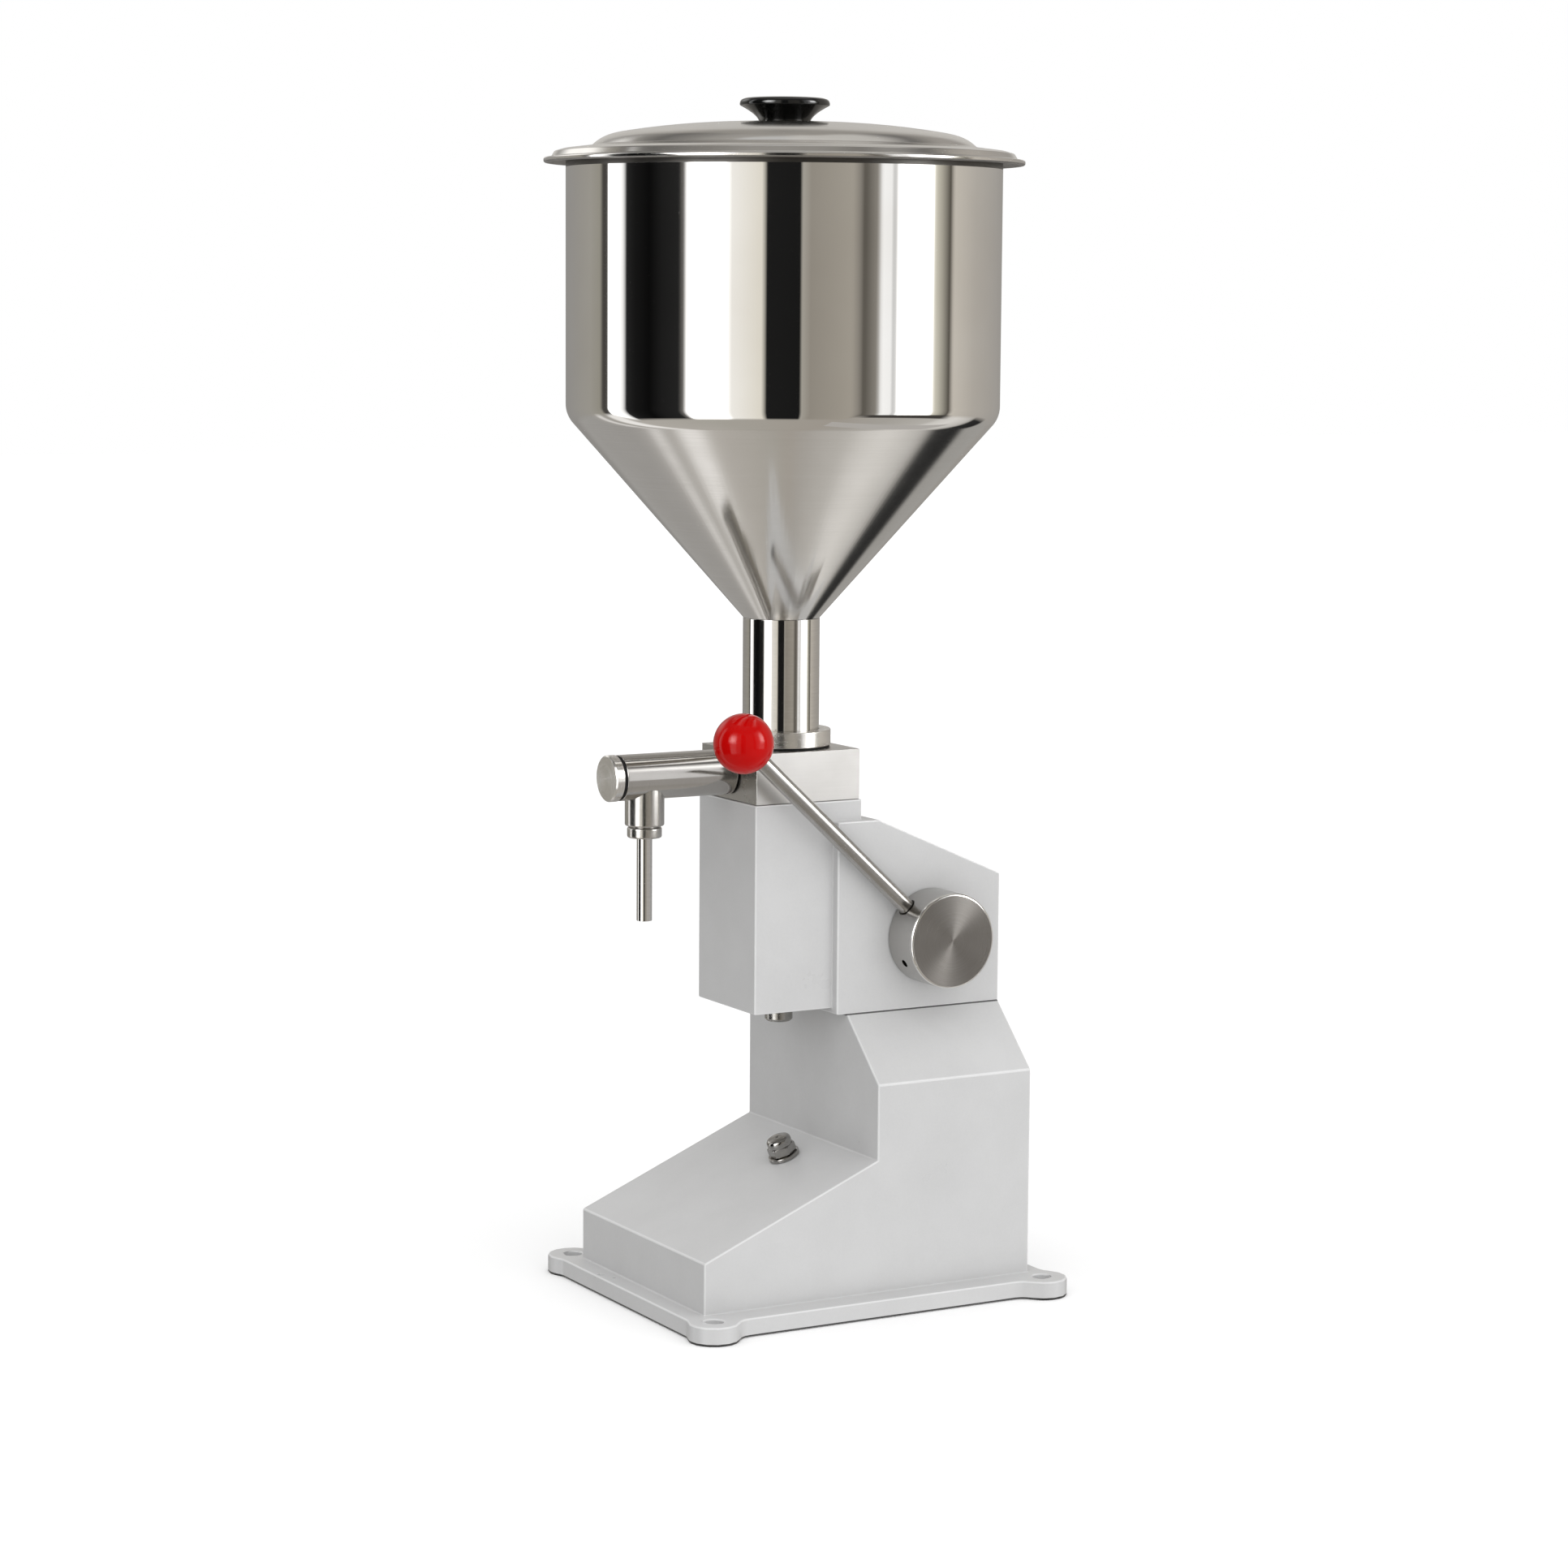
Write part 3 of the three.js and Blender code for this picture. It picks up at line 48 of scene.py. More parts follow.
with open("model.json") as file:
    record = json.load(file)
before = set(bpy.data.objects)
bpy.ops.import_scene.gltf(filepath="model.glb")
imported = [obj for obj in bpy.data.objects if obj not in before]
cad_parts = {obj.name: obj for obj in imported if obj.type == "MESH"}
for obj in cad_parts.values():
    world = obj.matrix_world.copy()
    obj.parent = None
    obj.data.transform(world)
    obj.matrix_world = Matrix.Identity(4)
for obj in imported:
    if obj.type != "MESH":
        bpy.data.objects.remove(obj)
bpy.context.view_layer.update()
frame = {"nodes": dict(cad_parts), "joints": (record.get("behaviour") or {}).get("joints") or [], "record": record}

# Camera of the photograph
CAMERA_AZIMUTH = math.radians(60.57)
CAMERA_PITCH = math.radians(7.2)
CAMERA_ROLL = math.radians(0.4)
CAMERA_DISTANCE = 2526.99
CAMERA_HEIGHT = 329.72
CAMERA_SIDESTEP = 2.43
FOCAL_PIXELS = 4858.82
IMAGE_PIXELS = 1932
SENSOR_WIDTH = 36.0


def make_camera():
    """Stands the camera at the photograph's place and aims it."""
    turn, pitch, roll = CAMERA_AZIMUTH, CAMERA_PITCH, CAMERA_ROLL
    back = Vector((
        math.sin(turn) * math.cos(pitch),
        -math.cos(turn) * math.cos(pitch),
        math.sin(pitch),
    ))
    right = Vector((math.cos(turn), math.sin(turn), 0.0))
    up = back.cross(right)
    place = Vector((0.0, 0.0, CAMERA_HEIGHT)) + right * CAMERA_SIDESTEP + back * CAMERA_DISTANCE
    rolled_right = right * math.cos(roll) + up * math.sin(roll)
    rolled_up = up * math.cos(roll) - right * math.sin(roll)
    camera = bpy.data.cameras.new("camera")
    camera.sensor_width = SENSOR_WIDTH
    camera.lens = SENSOR_WIDTH * FOCAL_PIXELS / IMAGE_PIXELS
    stand = placed("camera", camera)
    axes = Matrix((rolled_right, rolled_up, back)).transposed()
    stand.matrix_world = Matrix.Translation(place * MM) @ axes.to_4x4()
    bpy.context.scene.camera = stand


class Wiring:
    """Adds nodes to a tree and joins them. Each call gives back the output for the next step."""

    def __init__(self, tree):
        self.tree = tree

    def node(self, kind, sockets=None, **settings):
        made = self.tree.nodes.new(kind)
        for name, value in settings.items():
            setattr(made, name, value)
        self.fill(made, sockets or {})
        return made

    def fill(self, made, sockets):
        for name, value in sockets.items():
            self.feed(made.inputs[name], value)

    def feed(self, socket, value):
        if isinstance(value, bpy.types.NodeSocket):
            self.tree.links.new(value, socket)
        else:
            socket.default_value = value

    def math(self, operation, *values):
        return self.node("ShaderNodeMath", dict(enumerate(values)), operation=operation).outputs[0]

    def plus(self, first, second):
        return self.math("ADD", first, second)

    def times(self, first, second):
        return self.math("MULTIPLY", first, second)

    def vectors(self, operation, first, second):
        return self.node("ShaderNodeVectorMath", {0: first, 1: second}, operation=operation).outputs

    def span(self, value, low, high, to_low, to_high):
        return self.node("ShaderNodeMapRange", {
            "Value": value, "From Min": low, "From Max": high, "To Min": to_low, "To Max": to_high,
        }).outputs[0]

    def noise(self, vector, scale, detail=3.0, roughness=0.5):
        return self.node("ShaderNodeTexNoise", {
            "Vector": vector, "Scale": scale, "Detail": detail, "Roughness": roughness,
        }).outputs["Fac"]

    def ramp(self, value, stops):
        """Colours between (place, colour) stops."""
        made = self.node("ShaderNodeValToRGB", {"Fac": value})
        elements = made.color_ramp.elements
        while len(elements) < len(stops):
            elements.new(0.5)
        for element, (place, colour) in zip(elements, stops):
            element.position = place
            element.color = solid(colour)
        return made.outputs["Color"]

    def mix(self, share, first, second):
        """A mix of two colours. The node's colour sockets share their names, so they go by number."""
        return self.node("ShaderNodeMix", {0: share, 6: first, 7: second}, data_type="RGBA").outputs[2]


def solid(colour):
    """A colour with full cover, from its three parts or from one grey level."""
    parts = colour if isinstance(colour, tuple) else (colour, colour, colour)
    return (*parts, 1.0)


def new_material(name):
    """A material with one Principled shader, its wiring and the object's own coordinates."""
    material = bpy.data.materials.new(name)
    material.use_nodes = True
    wires = Wiring(material.node_tree)
    shader = material.node_tree.nodes["Principled BSDF"]
    place = wires.node("ShaderNodeTexCoord").outputs["Object"]
    return material, wires, shader, place


def round_place(wires, place, centre, axis):
    """Coordinates (radius, angle, place along) about an axis through a point, in metres."""
    moved = wires.vectors("SUBTRACT", place, centre)[0]
    parts = wires.node("ShaderNodeSeparateXYZ", {"Vector": moved}).outputs
    names = {"X": ("Y", "Z", "X"), "Y": ("X", "Z", "Y"), "Z": ("X", "Y", "Z")}[axis]
    first, second, along = (parts[n] for n in names)
    radius = wires.math("SQRT", wires.plus(wires.times(first, first), wires.times(second, second)))
    return radius, wires.math("ARCTAN2", second, first), along


def bump(wires, shader, height, depth):
    """Feeds a height into the shader's normal, with its depth in millimetres."""
    made = wires.node("ShaderNodeBump", {"Height": height, "Distance": depth * MM, "Strength": 1.0})
    wires.feed(shader.inputs["Normal"], made.outputs[0])


def enamel(name, tone):
    """Satin paint on a smooth casting, with a faint mottle and orange peel."""
    material, wires, shader, place = new_material(name)
    speck_share, wave_share, peel_depth = 0.35, 3.0, 0.02
    cloud = wires.noise(place, scale=22.0, detail=4.0, roughness=0.6)
    speck = wires.noise(place, scale=700.0, detail=2.0)
    mottle = wires.plus(cloud, wires.times(speck, speck_share))
    dark, light = tone
    wires.fill(shader, {
        "Base Color": wires.ramp(mottle, [(0.45, dark), (0.85, light)]),
        "Roughness": wires.span(cloud, 0.3, 0.7, 0.27, 0.33),
        "Specular IOR Level": 0.45,
    })
    peel = wires.noise(place, scale=420.0, detail=2.0, roughness=0.4)
    wave = wires.noise(place, scale=60.0, detail=2.0, roughness=0.4)
    bump(wires, shader, wires.plus(peel, wires.times(wave, wave_share)), peel_depth)
    return material


STEEL_TONE = ((0.72, 0.705, 0.68), (0.80, 0.785, 0.76))
LEVEL_GRAIN = (60.0, 60.0, 900.0)
FINE_RINGS = 5200.0


def metal(wires, shader, blend, tone, roughness, reach):
    """Bare metal: dark and rough where the blend is low, light and smooth where it is high."""
    worn, bright = tone
    smooth, rough = roughness
    wires.fill(shader, {
        "Base Color": wires.ramp(blend, [(0.35, worn), (0.65, bright)]),
        "Metallic": 1.0,
        "Roughness": wires.span(blend, *reach, rough, smooth),
    })


def steel(name, roughness, grain=LEVEL_GRAIN, depth=0.001, tone=STEEL_TONE, grain_share=0.6):
    """Steel with fine grain, whose scale is given on each axis and its depth in millimetres."""
    material, wires, shader, place = new_material(name)
    stretched = wires.node("ShaderNodeMapping", {"Vector": place, "Scale": grain}).outputs[0]
    lines = wires.noise(stretched, scale=1.0, detail=3.0, roughness=0.65)
    cloud = wires.noise(place, scale=35.0)
    blend = wires.plus(wires.times(lines, grain_share), wires.times(cloud, 1.0 - grain_share))
    metal(wires, shader, blend, tone, roughness, reach=(0.35, 0.65))
    bump(wires, shader, lines, depth)
    return material


def turned_steel(name, centre, axis, roughness, depth=0.002, rings=FINE_RINGS, anisotropy=0.0,
                 tone=STEEL_TONE):
    """Steel turned on a lathe: fine rings about an axis, on its face and along its side."""
    material, wires, shader, place = new_material(name)
    radius, angle, along = round_place(wires, place, centre, axis)
    ring_share, rings_round = 0.6, 0.35
    marks = wires.node("ShaderNodeCombineXYZ", {
        "X": wires.times(radius, rings), "Y": wires.times(angle, rings_round),
        "Z": wires.times(along, rings),
    }).outputs[0]
    lines = wires.noise(marks, scale=1.0, detail=2.0, roughness=0.7)
    cloud = wires.noise(place, scale=40.0)
    blend = wires.plus(wires.times(lines, ring_share), wires.times(cloud, 1.0 - ring_share))
    metal(wires, shader, blend, tone, roughness, reach=(0.3, 0.7))
    if anisotropy:
        spin = wires.node("ShaderNodeTangent", direction_type="RADIAL", axis=axis).outputs[0]
        wires.fill(shader, {"Anisotropic": anisotropy, "Anisotropic Rotation": 0.25, "Tangent": spin})
    bump(wires, shader, lines, depth)
    return material


def polished_bowl():
    """Mirror polished steel with a faint cloud and the slow waves of a spun sheet."""
    material, wires, shader, place = new_material("polished_bowl")
    cloud = wires.noise(place, scale=14.0)
    metal(wires, shader, cloud, ((0.79, 0.775, 0.75), (0.83, 0.82, 0.80)),
          roughness=(0.04, 0.022), reach=(0.3, 0.7))
    bump(wires, shader, wires.noise(place, scale=9.0, detail=1.0), depth=0.024)
    return material


def plastic(name, deep, light, roughness, wear=0.0015, shine=0.5):
    """Moulded or turned plastic with a faint cloud in its colour and fine marks in its gloss."""
    material, wires, shader, place = new_material(name)
    cloud = wires.noise(place, scale=45.0)
    marks = wires.noise(place, scale=260.0, detail=3.0, roughness=0.6)
    wires.fill(shader, {
        "Base Color": wires.ramp(cloud, [(0.35, deep), (0.65, light)]),
        "Roughness": wires.span(marks, 0.35, 0.7, *roughness),
        "Specular IOR Level": shine,
    })
    bump(wires, shader, marks, wear)
    return material


ON_AXIS = 1e-6


def rounded(corners, steps):
    """A polyline from (radius, place) corners, with an arc where a corner has a third part, its fillet."""
    line = []
    last = len(corners) - 1
    for i, corner in enumerate(corners):
        here = Vector(corner[:2])
        fillet = corner[2] if len(corner) == 3 else 0.0
        if fillet <= 0.0 or i in (0, last):
            line.append(here)
            continue
        before = (Vector(corners[i - 1][:2]) - here).normalized()
        after = (Vector(corners[i + 1][:2]) - here).normalized()
        half = before.angle(after) / 2.0
        reach = fillet / math.tan(half)
        centre = here + (before + after).normalized() * (fillet / math.sin(half))
        start = here + before * reach - centre
        sweep = math.pi - 2.0 * half
        if start.cross(here + after * reach - centre) < 0.0:
            sweep = -sweep
        for k in range(steps + 1):
            turn = sweep * k / steps
            line.append(centre + Vector((
                start.x * math.cos(turn) - start.y * math.sin(turn),
                start.x * math.sin(turn) + start.y * math.cos(turn),
            )))
    return line


def skin(mesh, lower, upper):
    """Faces between two rings of as many points. A ring of one point closes the other."""
    sides = max(len(lower), len(upper))
    for k in range(sides):
        n = (k + 1) % sides
        if len(lower) == len(upper) == 1:
            continue
        if len(lower) == 1:
            mesh.faces.new((lower[0], upper[k], upper[n]))
        elif len(upper) == 1:
            mesh.faces.new((lower[k], lower[n], upper[0]))
        else:
            mesh.faces.new((lower[k], lower[n], upper[n], upper[k]))


def points_round(mesh, place, sides, radius_at):
    """A ring of points about local Z, whose radius may differ by angle."""
    points = []
    for k in range(sides):
        angle = 2.0 * math.pi * k / sides
        radius = radius_at(angle)
        points.append(mesh.verts.new((radius * math.cos(angle), radius * math.sin(angle), place)))
    return points


def turned_mesh(corners, sides=96, steps=6):
    """A closed turned body about local Z, from its corners."""
    line = rounded(corners, steps)
    open_bore = line[0].x > 0.0 or line[-1].x > 0.0
    mesh = bmesh.new()
    rings = []
    for point in line:
        if point.x < ON_AXIS:
            rings.append([mesh.verts.new((0.0, 0.0, point.y))])
            continue
        rings.append(points_round(mesh, point.y, sides, lambda angle: point.x))
    pairs = list(zip(rings, rings[1:])) + ([(rings[-1], rings[0])] if open_bore else [])
    for lower, upper in pairs:
        skin(mesh, lower, upper)
    bmesh.ops.recalc_face_normals(mesh, faces=mesh.faces)
    return mesh


def along_x(place):
    """Local Z to +X."""
    return Matrix.Translation(place) @ Matrix.Rotation(math.pi / 2.0, 4, "Y")


def along_forward(place):
    """Local Z to -Y."""
    return Matrix.Translation(place) @ Matrix.Rotation(math.pi / 2.0, 4, "X")


def upright(place=(0.0, 0.0, 0.0)):
    """Local Z stays up."""
    return Matrix.Translation(place)


def corners_of(node):
    """A node's lowest and highest corner, in millimetres."""
    return [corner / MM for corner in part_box(node)]


def turned_piece(name, corners, place, *details, sides=96, steps=6, choose=None):
    """A turned piece from its corners. The details are those of dress, from its materials on."""
    return dress(name, as_data(turned_mesh(corners, sides, steps), place), *details, choose=choose)


FLAT_FACE_WEIGHT = 90


def dress(name, data, materials, body, slot_name, node, sharp=32.0, choose=None):
    """Shades a mesh smooth up to an angle, with its flat faces kept flat, and puts it on its body in place of the
    node.

    With several materials, choose gives each face the number of its own."""
    data.polygons.foreach_set("use_smooth", [True] * len(data.polygons))
    data.set_sharp_from_angle(angle=math.radians(sharp))
    piece = placed(name, data)
    weighted = piece.modifiers.new("flat_faces", "WEIGHTED_NORMAL")
    weighted.keep_sharp = True
    weighted.weight = FLAT_FACE_WEIGHT
    plain = as_mesh(piece)
    piece.modifiers.clear()
    piece.data = plain
    plain.name = name
    numbers = [choose(face) if choose else 0 for face in plain.polygons]
    plain.materials.clear()
    for material in materials:
        plain.materials.append(material)
    plain.polygons.foreach_set("material_index", numbers)
    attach(piece, body)
    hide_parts(node)
    return piece


def placed(name, data):
    """An object for a mesh, in the scene."""
    item = bpy.data.objects.new(name, data)
    bpy.context.scene.collection.objects.link(item)
    return item


def as_mesh(item):
    """The object's mesh with its modifiers applied."""
    bpy.context.view_layer.update()
    seen = item.evaluated_get(bpy.context.evaluated_depsgraph_get())
    return bpy.data.meshes.new_from_object(seen)


def as_data(mesh, place):
    """A bmesh in millimetres as mesh data in metres, at its place."""
    bmesh.ops.transform(mesh, matrix=Matrix.Scale(MM, 4) @ place, verts=mesh.verts)
    data = bpy.data.meshes.new("part")
    mesh.to_mesh(data)
    mesh.free()
    return data


def joined_with(data, cutter, operation):
    """One mesh cut by, or joined with, another, both in metres."""
    body = placed("body", data)
    tool = placed("tool", cutter)
    change = body.modifiers.new("change", "BOOLEAN")
    change.operation = operation
    change.solver = "EXACT"
    change.object = tool
    result = as_mesh(body)
    for item in (body, tool):
        bpy.data.objects.remove(item)
    return result


def coil_tree(material):
    """A node tree for a wire wound along a helix about Z, with its sizes as named inputs."""
    tree = bpy.data.node_groups.new("wound_coil", "GeometryNodeTree")
    face = tree.interface
    for name in ("Radius", "Height", "Turns", "Wire radius"):
        face.new_socket(name=name, in_out="INPUT", socket_type="NodeSocketFloat")
    for name in ("Steps per turn", "Wire sides"):
        face.new_socket(name=name, in_out="INPUT", socket_type="NodeSocketInt")
    face.new_socket(name="Geometry", in_out="OUTPUT", socket_type="NodeSocketGeometry")
    wires = Wiring(tree)
    sizes = wires.node("NodeGroupInput").outputs
    helix = wires.node("GeometryNodeCurveSpiral", {
        "Resolution": sizes["Steps per turn"], "Rotations": sizes["Turns"],
        "Start Radius": sizes["Radius"], "End Radius": sizes["Radius"], "Height": sizes["Height"],
    })
    wire = wires.node("GeometryNodeCurvePrimitiveCircle", {
        "Resolution": sizes["Wire sides"], "Radius": sizes["Wire radius"],
    })
    swept = wires.node("GeometryNodeCurveToMesh", {
        "Curve": helix.outputs[0], "Profile Curve": wire.outputs[0], "Fill Caps": True,
    })
    real = wires.node("GeometryNodeRealizeInstances", {"Geometry": swept.outputs[0]})
    painted = wires.node("GeometryNodeSetMaterial", {"Geometry": real.outputs[0], "Material": material})
    wires.node("NodeGroupOutput", {"Geometry": painted.outputs[0]})
    return tree


def coil_mesh(name, material, sizes):
    """The coil tree run once with these sizes, in millimetres, as a plain mesh."""
    tree = coil_tree(material)
    holder = placed(name, bpy.data.meshes.new(name))
    winding = holder.modifiers.new("winding", "NODES")
    winding.node_group = tree
    for item in tree.interface.items_tree:
        if item.in_out == "INPUT":
            winding[item.identifier] = sizes[item.name]
    result = as_mesh(holder)
    bpy.data.objects.remove(holder)
    mesh = bmesh.new()
    mesh.from_mesh(result)
    bmesh.ops.recalc_face_normals(mesh, faces=mesh.faces)
    mesh.to_mesh(result)
    mesh.free()
    return result


# Rounded edges
SAME_POINT = 0.01
FLAT_ANGLE = math.radians(0.5)
EDGE_ANGLE = math.radians(25.0)
SHORTEST_EDGE = 1.9
PROBE = 0.5
EDGE_STEPS = 3


def is_outer_edge(edge, tree, lowest):
    """An edge to round: long enough, above the lowest height, with nothing close in front of it."""
    if len(edge.link_faces) != 2 or edge.calc_face_angle(0.0) < EDGE_ANGLE:
        return False
    if min(v.co.z for v in edge.verts) < lowest * MM or edge.calc_length() < SHORTEST_EDGE * MM:
        return False
    out = (edge.link_faces[0].normal + edge.link_faces[1].normal).normalized()
    middle = (edge.verts[0].co + edge.verts[1].co) / 2.0
    return tree.ray_cast(middle + out * PROBE * MM, out)[0] is None


def rounded_copy(node, width, lowest=-1.0):
    """The node's own shape with its edges rounded, but for the short edges of holes.

    The faces of the outward edges are numbered 1 and all others 0."""
    mesh = bmesh.new()
    mesh.from_mesh(frame["nodes"][node].data)
    bmesh.ops.remove_doubles(mesh, verts=mesh.verts, dist=SAME_POINT * MM)
    bmesh.ops.dissolve_limit(mesh, angle_limit=FLAT_ANGLE, verts=mesh.verts, edges=mesh.edges)
    bmesh.ops.recalc_face_normals(mesh, faces=mesh.faces)
    tree = BVHTree.FromBMesh(mesh)
    layer = mesh.edges.layers.float.new("bevel_weight_edge")
    for edge in mesh.edges:
        if is_outer_edge(edge, tree, lowest):
            edge[layer] = 1.0
    data = bpy.data.meshes.new(node + "_rounded")
    mesh.to_mesh(data)
    mesh.free()
    for slot in range(2):
        data.materials.append(None)
    item = placed("rounding", data)
    change = item.modifiers.new("edges", "BEVEL")
    change.limit_method = "WEIGHT"
    change.width = width * MM
    change.material = 1
    change.segments = EDGE_STEPS
    change.miter_outer = "MITER_SHARP"
    change.use_clamp_overlap = False
    result = as_mesh(item)
    bpy.data.objects.remove(item)
    for face in result.polygons:
        near, normal = tree.find_nearest(face.center)[:2]
        if face.material_index == 1 and (face.center - near).dot(normal) > 0.0:
            face.material_index = 0
    return result


def cut_level(data, height):
    """Cuts the faces of a mesh at a height in millimetres, with its shape unchanged."""
    mesh = bmesh.new()
    mesh.from_mesh(data)
    bmesh.ops.bisect_plane(mesh, geom=mesh.verts[:] + mesh.edges[:] + mesh.faces[:],
                           plane_co=(0.0, 0.0, height * MM), plane_no=(0.0, 0.0, 1.0))
    mesh.to_mesh(data)
    mesh.free()


def standing(node):
    """Foot, head and radius of an upright round node."""
    low, high = corners_of(node)
    return low.z, high.z, high.x


def lying(node):
    """Rear, front and radius of a round node along the discharge tube."""
    low, high = corners_of(node)
    return -high.y, -low.y, high.x


def ring(bore, outer, start, end, fillets):
    """Corners of a ring, each with its own fillet."""
    path = ((bore, start), (outer, start), (outer, end), (bore, end))
    return [(*corner, fillet) for corner, fillet in zip(path, fillets)]


def bar(radius, start, end, fillet=0.0):
    """Corners of a plain round bar."""
    return ring(0.0, radius, start, end, (0.0, fillet, fillet, 0.0))


# Castings and block
# The dark strip along the base's foot is a painted contact shadow; this is its height.
FOOT_SHADOW_LINE = 1.5
# The dark strip under the housing is painted shade in the joint; this is its height.
JOINT_SHADE_LINE = 1.5


def make_castings(paints, block_steels):
    base = rounded_copy("base_casting", width=1.0, lowest=2.0)
    cut_level(base, FOOT_SHADOW_LINE)
    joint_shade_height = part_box("base_casting")[1].z - JOINT_SHADE_LINE * MM

    def base_paint(face):
        """0 the flat faces, 1 the rounded edges in a painted highlight, 2 painted shade in the joint under the
        housing, 3 a painted contact shadow along the foot.
        """
        if face.center.z < FOOT_SHADOW_LINE * MM:
            return 3
        if face.material_index == 1 and face.center.z > joint_shade_height:
            return 2
        return face.material_index

    dress("base_body", base, paints, "base", "light_enamel", "base_casting", choose=base_paint)
    # The housing's rounded edges take the lighter edge paint, a painted highlight.
    housing = rounded_copy("upper_housing", width=0.9)
    dress("housing_body", housing, paints[:2], "base", "light_enamel", "upper_housing",
          choose=lambda face: face.material_index)
    # The block's front faces take a darker copy of its steel: painted shade and dark reflection.
    block = rounded_copy("valve_block", width=0.35)
    dress("block_body", block, block_steels, "base", "satin_steel", "valve_block",
          choose=lambda face: int(face.normal.y < -0.9))


# Hopper
BOWL_RADIUS = 137.3
BOWL_WALL = 1.5
NECK_RADIUS = 24.5
NECK_WALL = 1.5
COLLAR_BORE = NECK_RADIUS + 0.3
CONE_HEIGHT = 127.8
CORNER_FILLET = 18.0
RIM_BEAD = 2.4


def make_bowl(steels):
    foot, rim = standing("hopper_bowl")[:2]
    corner = foot + CONE_HEIGHT
    lean = math.atan2(BOWL_RADIUS - NECK_RADIUS, CONE_HEIGHT)
    inside, outside = BOWL_RADIUS - BOWL_WALL, BOWL_RADIUS + RIM_BEAD
    bead_foot, bead_fillet = rim - 2.0 * RIM_BEAD, RIM_BEAD * 0.98
    # Above this height the bowl takes a dark steel, painted shade under the lid.
    shaded, crease = rim - 9.0, corner - 4.0

    def bowl_finish(face):
        """0 the polished wall, 1 the cone, 2 the rim under the lid, darkened as painted shade."""
        if face.center.z > shaded * MM:
            return 2
        return int(face.center.z < crease * MM)

    turned_piece("bowl_shell", [
        (NECK_RADIUS, foot),
        (BOWL_RADIUS, corner, CORNER_FILLET),
        (BOWL_RADIUS, shaded),
        (BOWL_RADIUS, bead_foot, 0.6),
        (outside, bead_foot, bead_fillet),
        (outside, rim, bead_fillet),
        (inside, rim, 0.9),
        (inside, corner + BOWL_WALL * math.tan(lean / 2.0), CORNER_FILLET - BOWL_WALL),
        (NECK_RADIUS - BOWL_WALL / math.cos(lean), foot),
    ], upright(), steels, "base", "polished_steel", "hopper_bowl",
        sides=192, steps=10, choose=bowl_finish)


def make_neck(neck_steel, collar_steel):
    foot, head = standing("hopper_neck")[:2]
    tube = ring(NECK_RADIUS - NECK_WALL, NECK_RADIUS, foot, head, (0.0, 0.2, 0.3, 0.0))
    turned_piece("neck_tube", tube, upright(), [neck_steel], "base", "polished_steel", "hopper_neck")
    foot, head, outer = standing("neck_collar")
    collar = ring(COLLAR_BORE, outer, foot, head, (0.0, 0.4, 0.7, 0.0))
    turned_piece("collar_ring", collar, upright(), [collar_steel], "base", "satin_steel", "neck_collar")


# Lid: its brim as (in from the edge, above the rim, fillet), then a swelling shoulder and a dome
LID_WALL = 1.2
LID_BRIM = [(0.0, -3.3, 1.2), (4.6, -2.9, 0.8), (6.8, 0.7, 1.6), (12.0, 2.2, 3.0), (30.0, 4.4, 1.0)]
SHOULDER_END = 50.0
SHOULDER_RISE = 3.4
SHOULDER_SWELL = 5.5
SHOULDER_STEPS = 14
DOME_DROP = 6.3
DOME_FLAT = 24.0
DOME_STEPS = 8


def lid_line(edge, rim, crown):
    """The lid's upper line, from its edge to its middle."""
    line = [(edge - inward, rim + above, fillet) for inward, above, fillet in LID_BRIM]
    start, foot = line[-1][:2]
    end = edge - SHOULDER_END
    for k in range(1, SHOULDER_STEPS):
        share = k / SHOULDER_STEPS
        rise = SHOULDER_RISE * share + SHOULDER_SWELL * (1.0 - (1.0 - share) ** 3)
        line.append((start + (end - start) * share, foot + rise, 0.0))
    for k in range(DOME_STEPS + 1):
        share = 1.0 - k / DOME_STEPS
        line.append((DOME_FLAT + (end - DOME_FLAT) * share, crown - DOME_DROP * share ** 2, 0.0))
    return line + [(0.0, crown, 0.0)]


def make_lid(steels):
    crown, edge = standing("lid")[1:]
    rim = standing("hopper_bowl")[1]
    top = lid_line(edge, rim, crown)
    under = [(radius, place - LID_WALL, fillet) for radius, place, fillet in reversed(top[1:])]
    lip = [(edge - 3.0, rim - 6.4, 0.4), (edge, rim - 6.4, 1.3)]
    # The lid's downward faces take a darker copy of its steel, painted shade.
    turned_piece("lid_shell", under[:-1] + lip + top, upright(), steels, "lid", "polished_steel",
                 "lid", sides=192, choose=lambda face: int(face.normal.z < -0.3))


KNOB_FOOT = 16.0
KNOB_FLARE = 1.7
KNOB_STEPS = 12


def make_knob(black):
    foot, head, edge = standing("lid_knob")
    lip_top = head - 1.3
    lip_foot = lip_top - 3.3
    corners = [(0.0, foot), (KNOB_FOOT, foot)]
    for k in range(1, KNOB_STEPS):
        share = k / KNOB_STEPS
        radius = KNOB_FOOT + (edge - KNOB_FOOT) * share ** KNOB_FLARE
        corners.append((radius, foot + (lip_foot - foot) * share))
    corners += [(edge, lip_foot, 0.9), (edge, lip_top, 3.0), (edge - 3.8, head - 0.15, 2.0),
                (0.0, head)]
    turned_piece("knob_turned", corners, upright(), [black], "lid", "black_plastic", "lid_knob")


def tube_middle():
    """A point on the discharge tube's axis, in millimetres."""
    low, high = corners_of("discharge_tube")
    return Vector((0.0, 0.0, (low.z + high.z) / 2.0))


